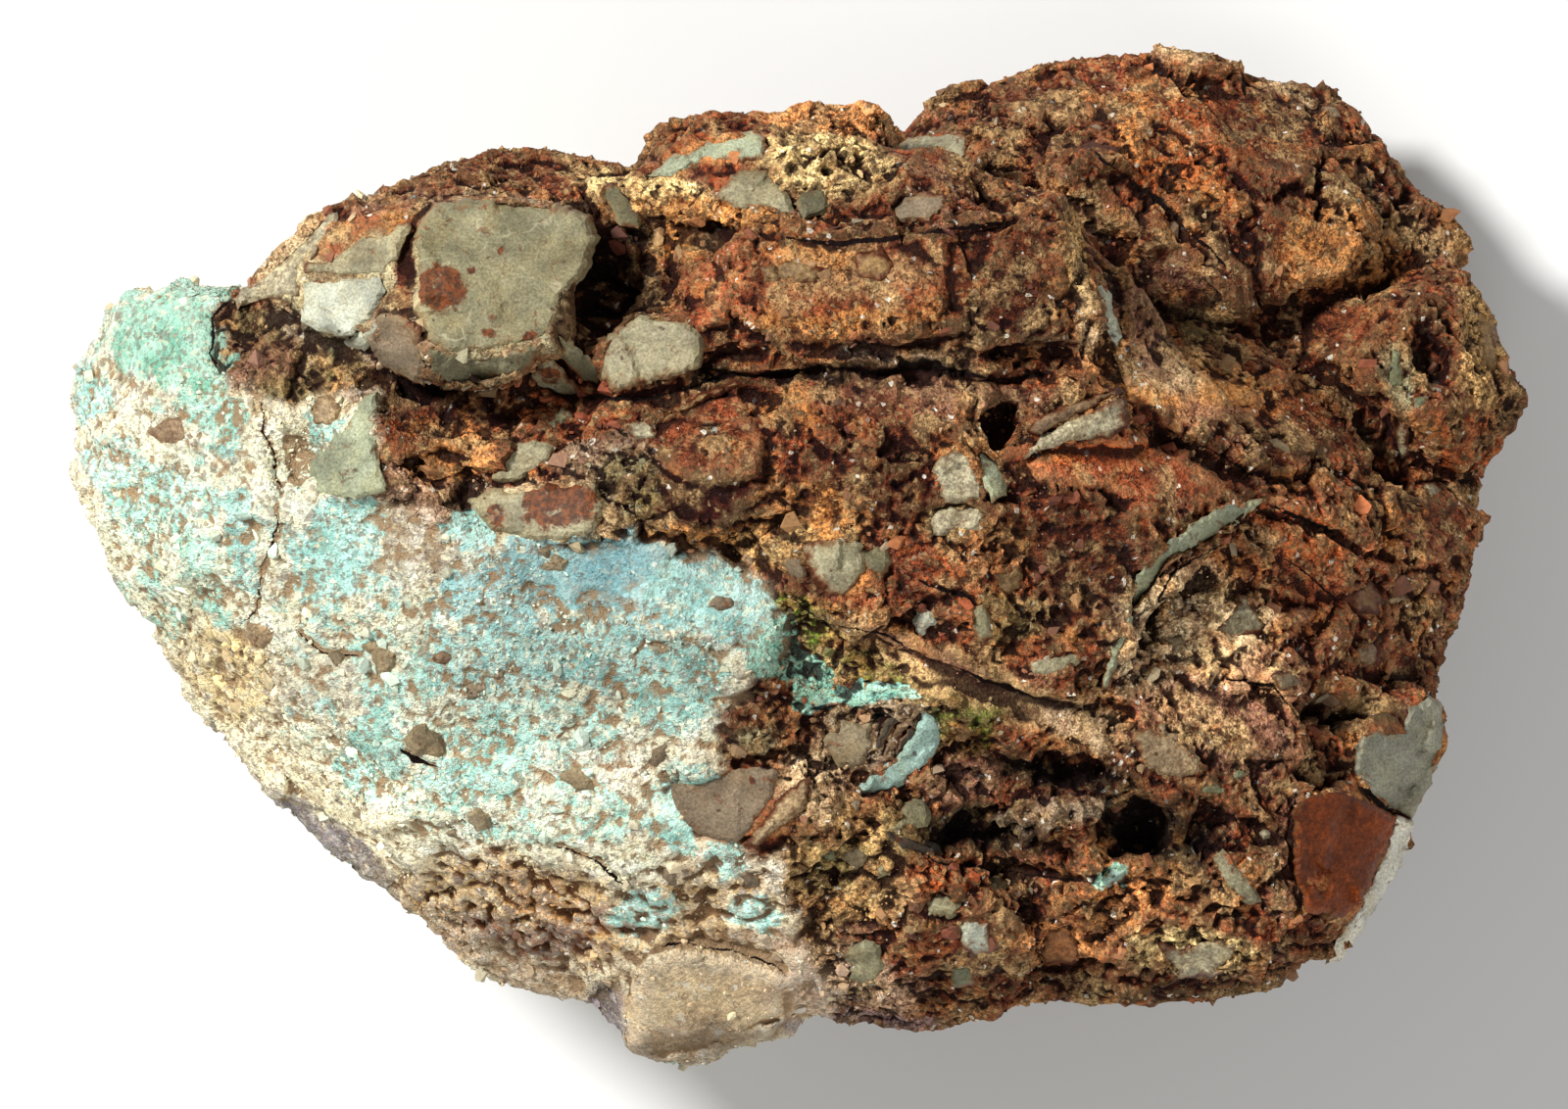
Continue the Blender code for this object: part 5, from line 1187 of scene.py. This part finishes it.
class Nodes:
    # a material whose nodes are added by short calls; sizes are grains in millimetres
    def __init__(self, name):
        self.material = bpy.data.materials.new(name)
        self.material.use_nodes = True
        self.tree = self.material.node_tree
        self.surface = self.tree.nodes["Principled BSDF"]
        place = self.tree.nodes.new("ShaderNodeTexCoord")
        scale = self.tree.nodes.new("ShaderNodeVectorMath")
        scale.operation = "MULTIPLY"
        scale.inputs[1].default_value = (1 / mm, 1 / mm, 0.6 / mm)
        self.link(place.outputs["Object"], scale.inputs[0])
        self.place = scale.outputs[0]

    def link(self, source, target):
        if hasattr(source, "is_output"):
            self.tree.links.new(source, target)
        else:
            target.default_value = source

    def attribute(self, name, kind="Fac"):
        made = self.tree.nodes.new("ShaderNodeAttribute")
        made.attribute_name = name
        return made.outputs[kind]

    def noiseNode(self, size, detail, place):
        made = self.tree.nodes.new("ShaderNodeTexNoise")
        made.inputs["Scale"].default_value = 1 / size
        made.inputs["Detail"].default_value = detail
        self.link(place or self.place, made.inputs["Vector"])
        return made

    def noise(self, size, detail=3.0, rough=0.55, place=None, warp=0.0):
        made = self.noiseNode(size, detail, place)
        made.inputs["Roughness"].default_value = rough
        made.inputs["Distortion"].default_value = warp
        return made.outputs["Fac"]

    def cells(self, size, feature="F1", output="Distance", place=None):
        made = self.tree.nodes.new("ShaderNodeTexVoronoi")
        made.feature = feature
        made.inputs["Scale"].default_value = 1 / size
        self.link(place or self.place, made.inputs["Vector"])
        return made.outputs[output]

    def warped(self, size, amount):
        # the place, shifted about by noise of the given grain
        made = self.noiseNode(size, 2.0, None)
        centred = self.tree.nodes.new("ShaderNodeVectorMath")
        centred.operation = "MULTIPLY_ADD"
        self.link(made.outputs["Color"], centred.inputs[0])
        centred.inputs[1].default_value = (amount, amount, amount)
        self.link(self.place, centred.inputs[2])
        return centred.outputs[0]

    def channels(self, colour):
        made = self.tree.nodes.new("ShaderNodeSeparateColor")
        self.link(colour, made.inputs[0])
        return made.outputs

    def math(self, operation, first, second=0.0):
        made = self.tree.nodes.new("ShaderNodeMath")
        made.operation = operation
        self.link(first, made.inputs[0])
        self.link(second, made.inputs[1])
        return made.outputs[0]

    def times(self, first, second):
        return self.math("MULTIPLY", first, second)

    def plus(self, first, second):
        return self.math("ADD", first, second)

    def minus(self, first, second):
        return self.math("SUBTRACT", first, second)

    def nearMiddle(self, value, widest, sharpest):
        # thin lines where a noise crosses its middle
        return self.step(self.math("ABSOLUTE", self.minus(value, 0.5)), widest, sharpest)

    def step(self, value, low, high, bottom=0.0, top=1.0):
        made = self.tree.nodes.new("ShaderNodeMapRange")
        self.link(value, made.inputs["Value"])
        for name, number in (("From Min", low), ("From Max", high), ("To Min", bottom), ("To Max", top)):
            made.inputs[name].default_value = number
        return made.outputs["Result"]

    def swing(self, value, ends):
        # a noise, nearly all of which lies in 0.3..0.7, stretched over the ends
        return self.step(value, 0.3, 0.7, *ends)

    def mix(self, share, first, second, blend="MIX"):
        made = self.tree.nodes.new("ShaderNodeMix")
        made.data_type = "RGBA"
        made.blend_type = blend
        for number, value in ((0, share), (6, first), (7, second)):
            if isinstance(value, str):
                value = (*linear(paint[value]), 1.0)
            self.link(value, made.inputs[number])
        return made.outputs[2]

    def scaled(self, colour, factor):
        # the colour times a number that may be above one
        made = self.tree.nodes.new("ShaderNodeVectorMath")
        made.operation = "SCALE"
        self.link(colour, made.inputs[0])
        self.link(factor, made.inputs["Scale"])
        return made.outputs[0]

    def between(self, share, first, second):
        made = self.tree.nodes.new("ShaderNodeMix")
        for number, value in ((0, share), (2, first), (3, second)):
            self.link(value, made.inputs[number])
        return made.outputs[0]

    def finish(self, colour, roughness, height, look):
        # hands the results to the shader; bump is its depth in millimetres and its strength
        distance, strength = look["bump"]
        made = self.tree.nodes.new("ShaderNodeBump")
        made.inputs["Strength"].default_value = strength
        made.inputs["Distance"].default_value = distance * mm
        self.link(height, made.inputs["Height"])
        self.link(colour, self.surface.inputs["Base Color"])
        self.link(roughness, self.surface.inputs["Roughness"])
        self.link(made.outputs["Normal"], self.surface.inputs["Normal"])
        self.surface.inputs["Specular IOR Level"].default_value = look["specular"]
        return self.material


rockLook = {
    # how far each noise darkens and lightens the brown rock and the pale end; for the middling one
    # after the span of the noise that is stretched over it
    "brown": {"middling": (0.33, 0.67, 0.36, 1.72), "fine": (0.5, 1.54), "grit": (0.38, 1.64)},
    "pale": {"middling": (0.3, 0.7, 0.78, 1.2), "fine": (0.74, 1.24), "grit": (0.66, 1.32)},
    "coarse": (0.82, 1.18), "calmed": 0.55,
    # strength of the films, on the brown and on the pale
    "film": 0.26, "greyFilm": (0.36, 0.42), "darkFilm": (0.62, 0.28),
    "crust": 0.9, "craze": 0.5, "freckles": 0.8, "holes": 0.85, "seams": (0.75, 0.25),
    "brightGrains": 0.55, "darkGrains": 0.7, "glints": 0.7,
    # painted shade in what lies low, and painted highlight on what stands up
    "hollowShade": 0.92, "ridgeHighlight": 0.16,
    "roughness": (0.62, 0.95), "bump": (0.7, 0.9), "specular": 0.1,
}


def skinMaterial():
    n, look = Nodes("brokenRock"), rockLook
    ground, pale = n.attribute("ground", "Color"), n.attribute("pale")
    cover, green, hollow, crackSide, crackWide, calm, pores = (
        n.attribute(name) for name in ("cover", "green", "hollow", "crackSide", "crackWide", "calm", "pores"))
    bent, loose = n.warped(1.2, 0.8), n.warped(1.5, 1.3)
    grit = n.noise(0.17, 2, 0.6)
    fine = n.noise(0.42, 3, 0.68)
    middling = n.noise(1.0, 4, 0.62, place=bent)
    coarse = n.noise(3.0, 3, 0.6)
    busy = n.step(calm, 0.5, 1.0, 1.0, 0.3)
    # light and dark of the rock itself, harder on the brown than on the pale, and redder where dark
    values, grits = [], []
    for kind in ("brown", "pale"):
        swings = look[kind]
        values.append(n.times(n.step(middling, *swings["middling"]), n.swing(fine, swings["fine"])))
        grits.append(n.swing(grit, swings["grit"]))
    values[0] = n.between(n.times(calm, look["calmed"]), values[0], 1.0)
    value = n.times(n.between(pale, *values), n.swing(coarse, look["coarse"]))
    value = n.times(value, n.between(pale, *grits))
    warm = n.mix(n.step(value, 0.25, 0.95), (1.0, 0.66, 0.52, 1), (1, 1, 1, 1))
    colour = n.mix(n.minus(1.0, pale), n.scaled(ground, value), warm, "MULTIPLY")
    # films: ochre, grey and dark ones over the brown, peach, white and tan ones over the pale
    film = n.step(n.noise(1.5, 4, 0.68, place=bent), 0.56, 0.62)
    darkFilm = n.step(n.noise(1.1, 4, 0.7, place=loose), 0.55, 0.61)
    greyFilm = n.step(n.noise(2.0, 4, 0.68, place=loose), 0.58, 0.64)
    colour = n.mix(n.times(film, look["film"]), colour, n.mix(pale, "redBrown", "peach"))
    for spread, strengths, brownTint, paleTint in (
        (greyFilm, look["greyFilm"], "through", "white"), (darkFilm, look["darkFilm"], "maroon", "tan"),
    ):
        colour = n.mix(n.times(spread, n.between(pale, *strengths)), colour, n.mix(pale, brownTint, paleTint))
    # turquoise, in ragged crusts
    ragged = n.plus(n.times(n.noise(3.6, 4, 0.6, place=bent), 0.68), n.times(n.noise(0.8, 3, 0.66), 0.32))
    crust = n.step(n.minus(cover, n.step(ragged, 0.32, 0.68)), -0.08, 0.10)
    blue = n.step(green, 0.0, -1.0)
    deeps = n.mix(blue, n.mix(green, "crustDeep", "greenDeep"), "blueDeep")
    lights = n.mix(blue, n.mix(green, "crustLight", "greenLight"), "blueLight")
    turquoise = n.mix(n.step(n.noise(2.4, 3, 0.6, place=loose), 0.36, 0.66), deeps, lights)
    turquoise = n.scaled(turquoise, n.times(n.swing(fine, (0.78, 1.2)), n.swing(grit, (0.74, 1.24))))
    colour = n.mix(n.times(crust, look["crust"]), colour, turquoise)
    # the pale ground is crazed by fine dark lines, with brownish freckles
    craze = n.nearMiddle(n.noise(1.5, 2, 0.6, place=loose), 0.016, 0.005)
    craze = n.times(craze, n.step(coarse, 0.42, 0.54))
    colour = n.mix(n.times(craze, n.times(pale, look["craze"])), colour, "crazeLine")
    freckle = n.step(n.cells(1.7, place=loose), 0.27, 0.18)
    freckle = n.times(freckle, n.step(n.noise(5.0, 2), 0.44, 0.56, 0.0, look["freckles"]))
    colour = n.mix(n.times(freckle, n.times(pale, busy)), colour, "freckle")
    # single grains, bright ones and dark ones, small and few, and tiny white painted glints
    bright, dark, glint = n.channels(n.cells(0.30, output="Color", place=bent))
    bright = n.times(n.step(bright, 0.87, 0.91, 0, look["brightGrains"]), busy)
    dark = n.times(n.step(dark, 0.79, 0.83, 0, look["darkGrains"]), busy)
    colour = n.mix(bright, colour, n.mix(pale, "through", "cream"))
    colour = n.mix(dark, colour, n.mix(pale, "nearBlack", "duskyGrain"))
    colour = n.mix(n.step(glint, 0.991, 0.995, 0, look["glints"]), colour, "white")
    # holes of the porous ground, painted dark as their shade
    holes = n.times(n.step(n.cells(1.15, place=loose), 0.38, 0.26), pores)
    colour = n.mix(n.times(holes, look["holes"]), colour, n.mix(pale, "nearBlack", "holeBrown"))
    # hairline seams
    seam = n.nearMiddle(n.noise(4.2, 4, 0.62, place=bent), 0.010, 0.004)
    colour = n.mix(n.times(seam, n.between(pale, *look["seams"])), colour, "nearBlack")
    # painted shade in what lies low, and a painted highlight on what stands up
    low = n.step(hollow, 0.03, 0.36, 0, look["hollowShade"])
    high = n.step(hollow, -0.02, -0.32, 0, look["ridgeHighlight"])
    colour = n.mix(low, colour, n.mix(pale, "nearBlack", n.mix(pores, "paleHollowShade", "holeHollowShade")))
    colour = n.mix(high, colour, n.mix(pale, "through", "white"))
    # lighter and darker ground, in part painted light and shade
    colour = n.scaled(colour, n.attribute("gain"))
    # painted shade in the cracks' gape, jagged and of uneven width
    jagged = n.plus(crackSide, n.times(n.minus(fine, 0.5), 6.0))
    uneven = n.times(crackWide, n.step(coarse, 0.36, 0.64, 0.1, 1.5))
    gape = n.minus(uneven, n.math("ABSOLUTE", jagged))
    colour = n.mix(n.step(gape, -0.1, 0.4), colour, "crackBlack")
    rough = n.plus(n.plus(n.times(fine, 0.9), middling), n.times(grit, 0.30))
    rough = n.times(rough, n.step(calm, 0.0, 1.0, 1.0, 0.5))
    return n.finish(colour, n.swing(middling, look["roughness"]), rough, look)


chertLook = {
    "brightness": 0.52, "cloud": (0.6, 1.34), "fine": (0.58, 1.4),
    "yellow": (1.10, 0.98, 0.76, 1), "veins": 0.4, "pits": 0.75,
    # rust that creeps in from the edges: its reach, and from where to where each shade of it sets in
    "reach": 0.56, "start": 1.09,
    "rust": {
        "through": (-0.08, 0.12, 0, 0.6), "redBrown": (0.06, 0.22, 0, 0.7), "umber": (0.18, 0.34, 0, 0.85),
    },
    "spots": 0.9, "spotRagged": 3.4, "redGrain": 0.6,
    "roughness": (0.42, 0.66), "bump": (0.22, 0.6), "specular": 0.15,
}


def fragmentMaterial():
    n, look = Nodes("chert"), chertLook
    shade, rim = n.attribute("shade", "Color"), n.attribute("rim")
    stain, spot = n.attribute("stain"), n.attribute("spot")
    cloud = n.step(n.noise(3.2, 4, 0.6, place=n.warped(3.0, 2.4)), 0.32, 0.68, *look["cloud"])
    fine = n.noise(0.2, 3, 0.7)
    colour = n.scaled(shade, n.times(cloud, n.swing(fine, look["fine"])))
    # yellower clouds
    yellow = n.step(n.noise(3.2, 4, 0.6, warp=0.8), 0.46, 0.66, 0, 0.5)
    colour = n.mix(yellow, colour, n.mix(1.0, colour, look["yellow"], "MULTIPLY"))
    # thin pale veins and small dark pits
    vein = n.step(n.cells(6.5, "DISTANCE_TO_EDGE", place=n.warped(2.2, 3.0)), 0.022, 0.006)
    broken = n.step(n.noise(2.0, 3), 0.48, 0.56)
    vein = n.times(vein, n.times(broken, n.times(n.attribute("veined"), look["veins"])))
    colour = n.mix(vein, colour, "cream")
    pit = n.cells(1.9, place=n.warped(3.0, 2.0))
    colour = n.mix(n.step(pit, 0.10, 0.06, 0, look["pits"]), colour, "umber")
    # rust that creeps in from the edges, and round spots of it
    ragged = n.noise(1.1, 5, 0.7, warp=0.8)
    patchy = n.step(n.noise(7.0, 2), 0.35, 0.65, -0.16, 0.26)
    creep = n.plus(n.times(rim, look["reach"]), n.plus(stain, n.minus(ragged, look["start"])))
    creep = n.plus(creep, n.times(patchy, n.step(stain, 0.0, 0.1)))
    for rust, ends in look["rust"].items():
        colour = n.mix(n.step(creep, *ends), colour, rust)
    blot = n.plus(spot, n.times(n.minus(ragged, 0.5), look["spotRagged"]))
    grain = n.step(n.noise(0.5, 4, 0.75), 0.38, 0.58)
    colour = n.mix(n.step(blot, 0.24, 0.7, 0, look["spots"]), colour, n.mix(grain, "russet", "umber"))
    # dark grain in the red-brown faces
    red, _, blue = n.channels(shade)
    reddish = n.step(n.minus(red, blue), 0.22, 0.28)
    colour = n.mix(n.times(reddish, n.times(grain, look["redGrain"])), colour, "umber")
    rough = n.plus(n.times(fine, 0.5), n.noise(1.2, 4, 0.6))
    return n.finish(n.scaled(colour, look["brightness"]), n.swing(ragged, look["roughness"]), rough, look)


crumbLook = {"fine": 0.28, "broad": 1.2, "swing": (0.82, 1.16), "bump": (0.16, 0.7), "specular": 0.5}


def crumbMaterial(name, roughness):
    n, look = Nodes(name), crumbLook
    fine = n.noise(look["fine"], 3, 0.65)
    broad = n.noise(look["broad"], 3, 0.6)
    value = n.times(n.swing(fine, look["swing"]), n.swing(broad, look["swing"]))
    return n.finish(n.scaled(n.attribute("shade", "Color"), value), roughness, fine, look)


# Crumbs grown on the skin: angular chips, and the sugary grains of both grounds.
crumbKinds = {
    # sizes are half-lengths in millimetres; sunk is the share of the thickness below the skin
    "rockChips": {
        "count": 500, "sizes": (0.3, 1.2), "corners": 11, "kinds": 22, "sunk": 0.35, "tilt": 0.5,
        "pale": False, "tints": ["paleChert", "through", "umber", "redBrown", "clay", "chert", "rust"],
        "ownTint": 0.26, "roughness": 0.8,
    },
    "rockGrains": {
        "count": 8000, "sizes": (0.10, 0.28), "corners": 8, "kinds": 12, "sunk": 0.2, "tilt": 0.9,
        "pale": False, "tints": ["through", "umber", "maroon", "clay", "greyTan", "rust"],
        "ownTint": 0.4, "roughness": 0.85,
    },
    "paleGrains": {
        "count": 10000, "sizes": (0.10, 0.32), "corners": 8, "kinds": 12, "sunk": 0.25, "tilt": 0.8,
        "pale": True, "tints": ["white", "cream", "white", "peach", "greyTan", "tan"],
        "ownTint": 0.62, "roughness": 0.85,
    },
    "paleChips": {
        "count": 600, "sizes": (0.3, 0.9), "corners": 11, "kinds": 18, "sunk": 0.4, "tilt": 0.4,
        "pale": True, "tints": ["cream", "peach", "greyTan", "tan", "white"],
        "ownTint": 0.62, "roughness": 0.75,
    },
}


def angularShapes(kind, draw):
    # a few convex bodies with flat faces: corners and triangles of each
    shapes = []
    for _ in range(kind["kinds"]):
        spread = draw.normal(size=(kind["corners"], 3))
        spread /= np.linalg.norm(spread, axis=1)[:, None]
        spread *= (1.0, draw.uniform(0.55, 0.95), draw.uniform(0.35, 0.8))
        shape = bmesh.new()
        for spot in spread.tolist():
            shape.verts.new(spot)
        bmesh.ops.convex_hull(shape, input=shape.verts)
        bmesh.ops.delete(shape, geom=[v for v in shape.verts if not v.link_faces], context="VERTS")
        bmesh.ops.triangulate(shape, faces=shape.faces)
        shape.verts.index_update()
        shapes.append((np.array([v.co for v in shape.verts]),
                       np.array([[v.index for v in face.verts] for face in shape.faces])))
        shape.free()
    return shapes


crumbSpread = {
    "cluster": 7.0, "contrast": 2.2, "thinnest": 0.04, "thickest": 1.6,
    "above": (2.5, 5),          # millimetres over the resting face where they set in
    "atFragments": 2.5,         # how much more of them lies along a fragment's edge
    "crusted": 0.55, "calmed": 0.92, "sizeCurve": 1.8,
    "ownShade": (0.5, 1.25), "tintShade": (0.5, 1.0), "mint": 0.75, "mintShade": (0.4, 0.9),
}


def crumbWeights(kind, facts, corners, area, middle, seed):
    # how likely each triangle of the skin is to carry a crumb
    spread = crumbSpread
    pale, crust, onTop, calm = (facts[name][corners].mean(1) for name in ("pale", "cover", "onTop", "calm"))
    want = pale * (1 - spread["crusted"] * crust) if kind["pale"] else (1 - pale)
    cluster = 0.5 + spread["contrast"] * noiseField(middle, spread["cluster"], seed)
    want = want * np.clip(cluster, spread["thinnest"], spread["thickest"])
    want = want * smoothStep(*spread["above"], middle[:, 2])
    # none on the clean fragments, more along their edges
    flat = framePoints(middle)
    clear = np.ones(len(flat))
    for _, _, _, _, outline in fragments.values():
        low, high = np.min(outline, 0) - 6, np.max(outline, 0) + 6
        near = np.nonzero(((flat > low) & (flat < high)).all(1))[0]
        away = outlineDistance(flat[near], outline)
        clear[near[away < -2]] = 0
        clear[near[np.abs(away) < 2]] = spread["atFragments"]
    want = want * np.where(onTop > 0.5, clear, 1) * np.where(clear > 1, 1, 1 - spread["calmed"] * calm)
    return area * want


def unit(vectors):
    return vectors / np.maximum(np.linalg.norm(vectors, axis=1), 1e-9)[:, None]


def crumbShades(kind, ground, crusted, draw):
    # the ground's own colour, brighter or darker, or half of it one of the tints
    spread, count = crumbSpread, kind["count"]
    shades = ground * draw.uniform(*spread["ownShade"], (count, 1))
    table = np.array([tone[tint] for tint in kind["tints"]])
    own = draw.random(count) < kind["ownTint"]
    picked = table[draw.integers(0, len(table), own.sum())]
    picked = picked * draw.uniform(*spread["tintShade"], (own.sum(), 1))
    shades[own] = 0.5 * shades[own] + 0.5 * picked
    if kind["pale"]:
        blue = draw.random(count) < crusted * spread["mint"]
        minted = tone["mint"] * draw.uniform(*spread["mintShade"], (blue.sum(), 1))
        shades[blue] = 0.5 * shades[blue] + 0.5 * minted
    return shades


def scatter(name, kind, made, facts, seed):
    draw = np.random.default_rng(seed)
    count = kind["count"]
    corners = triangles(made.data)
    points = facts["points"]
    first, second, third = (points[corners[:, side]] for side in range(3))
    across = np.cross(second - first, third - first)
    area = np.linalg.norm(across, axis=1) / 2
    share = crumbWeights(kind, facts, corners, area, points[corners].mean(1), seed)
    chosen = draw.choice(len(area), count, p=share / share.sum())
    weights = draw.dirichlet((1, 1, 1), count)[:, :, None]
    spot = (points[corners[chosen]] * weights).sum(1)
    ground = (facts["ground"][corners[chosen]] * weights).sum(1)
    crusted = facts["cover"][corners].mean(1)[chosen]
    up = unit(across[chosen])
    up += draw.normal(size=up.shape) * kind["tilt"] * 0.4
    up = unit(up)
    turned = unit(np.cross(up, draw.normal(size=up.shape)))
    frames = np.stack([turned, np.cross(up, turned), up], 1)
    small, large = kind["sizes"]
    size = small * (large / small) ** (draw.random(count) ** crumbSpread["sizeCurve"])
    shades = crumbShades(kind, ground, crusted, draw)
    shapes = angularShapes(kind, draw)
    which = draw.integers(0, len(shapes), count)
    allPoints, allCorners, allShades, start = [], [], [], 0
    for number, (body, faces) in enumerate(shapes):
        members = np.nonzero(which == number)[0]
        half = size[members, None]
        grown = np.einsum("vk,mkj->mvj", body, frames[members]) * half[:, None]
        grown += (spot[members] + up[members] * (half * (0.5 - kind["sunk"]) * 0.8))[:, None]
        allPoints.append(grown.reshape(-1, 3))
        offsets = start + np.arange(len(members))[:, None, None] * len(body)
        allCorners.append((faces[None] + offsets).reshape(-1, 3))
        allShades.append(np.repeat(shades[members], len(body), axis=0))
        start += len(members) * len(body)
    cloud = np.vstack(allPoints)
    cloud[:, 2] = np.maximum(cloud[:, 2], 0.05)
    grains = meshObject(name, cloud, np.vstack(allCorners))
    setColours(grains.data, "shade", np.vstack(allShades))
    onStone(grains, crumbMaterial(name + "Surface", kind["roughness"]))
    print(name + ":", count, "grown on,", len(grains.data.polygons), "triangles")


def buildStone():
    made = denseCopy("turquoiseStoneSkin", stoneNode)
    print("skin copied:", len(made.data.vertices), "points")
    planes = carve(made)
    thinAway(made)
    print("skin carved:", len(triangles(made.data)), "triangles")
    facts = paintSkin(made)
    # crisp faces on the rough ground, soft ones where it is calm
    corners = np.zeros(len(made.data.loops), np.int32)
    made.data.loops.foreach_get("vertex_index", corners)
    starts = np.zeros(len(made.data.polygons), np.int32)
    made.data.polygons.foreach_get("loop_start", starts)
    soft = (facts["calm"] + 0.6 * facts["pale"])[corners[starts]] > 0.55
    made.data.polygons.foreach_set("use_smooth", soft)
    onStone(made, skinMaterial())
    print("skin painted")
    buildFragments(planes)
    for seed, (name, kind) in enumerate(crumbKinds.items(), 21):
        scatter(name, kind, made, facts, seed)


buildStone()

studio = {
    "floorSize": 3.0, "floorColour": (214, 214, 212), "floorRoughness": 0.9,    # metres
    "key": {"place": (-0.50, 0.36, 0.68), "size": 0.18, "watts": 12.4},
    "fill": {"place": (0.30, -0.60, 0.74), "size": 0.9, "watts": 4.6},
    "sky": 0.32, "lampsAimAt": (0, 0, 0.03), "sensor": 36.0,
}


def buildFloor():
    half = studio["floorSize"] / 2 / mm
    corners = np.array([(-half, -half, 0), (half, -half, 0), (half, half, 0), (-half, half, 0)])
    floor = meshObject("floor", corners, np.array([(0, 1, 2), (0, 2, 3)]))
    n = Nodes("paleFloor")
    n.surface.inputs["Base Color"].default_value = (*linear(studio["floorColour"]), 1)
    n.surface.inputs["Roughness"].default_value = studio["floorRoughness"]
    floor.data.materials.append(n.material)


def buildLights():
    for name in ("key", "fill"):
        lamp = studio[name]
        light = bpy.data.lights.new(name, "AREA")
        light.shape = "DISK"
        light.size = lamp["size"]
        light.energy = lamp["watts"]
        made = bpy.data.objects.new(name, light)
        bpy.context.scene.collection.objects.link(made)
        made.location = lamp["place"]
        toStone = Vector(studio["lampsAimAt"]) - Vector(lamp["place"])
        made.rotation_euler = toStone.to_track_quat("-Z", "Y").to_euler()
    world = bpy.data.worlds.new("studio")
    bpy.context.scene.world = world
    world.use_nodes = True
    background = world.node_tree.nodes["Background"]
    background.inputs["Color"].default_value = (1, 1, 1, 1)
    background.inputs["Strength"].default_value = studio["sky"]


def buildCamera():
    camera = bpy.data.cameras.new("camera")
    made = bpy.data.objects.new("camera", camera)
    bpy.context.scene.collection.objects.link(made)
    camera.sensor_width = studio["sensor"]
    distance = view["eye"] - view["plane"]
    camera.lens = camera.sensor_width * view["pointsPerMm"] * distance / view["width"]
    across = (view["width"] / 2 - view["middle"][0]) / view["pointsPerMm"]
    down = (view["height"] / 2 - view["middle"][1]) / view["pointsPerMm"]
    made.location = Vector((view["aim"][0] + across, view["aim"][1] - down, view["eye"])) * mm
    bpy.context.scene.camera = made


buildFloor()
buildLights()
buildCamera()
bpy.context.scene.view_settings.view_transform = "Standard"
print("studio and camera set")
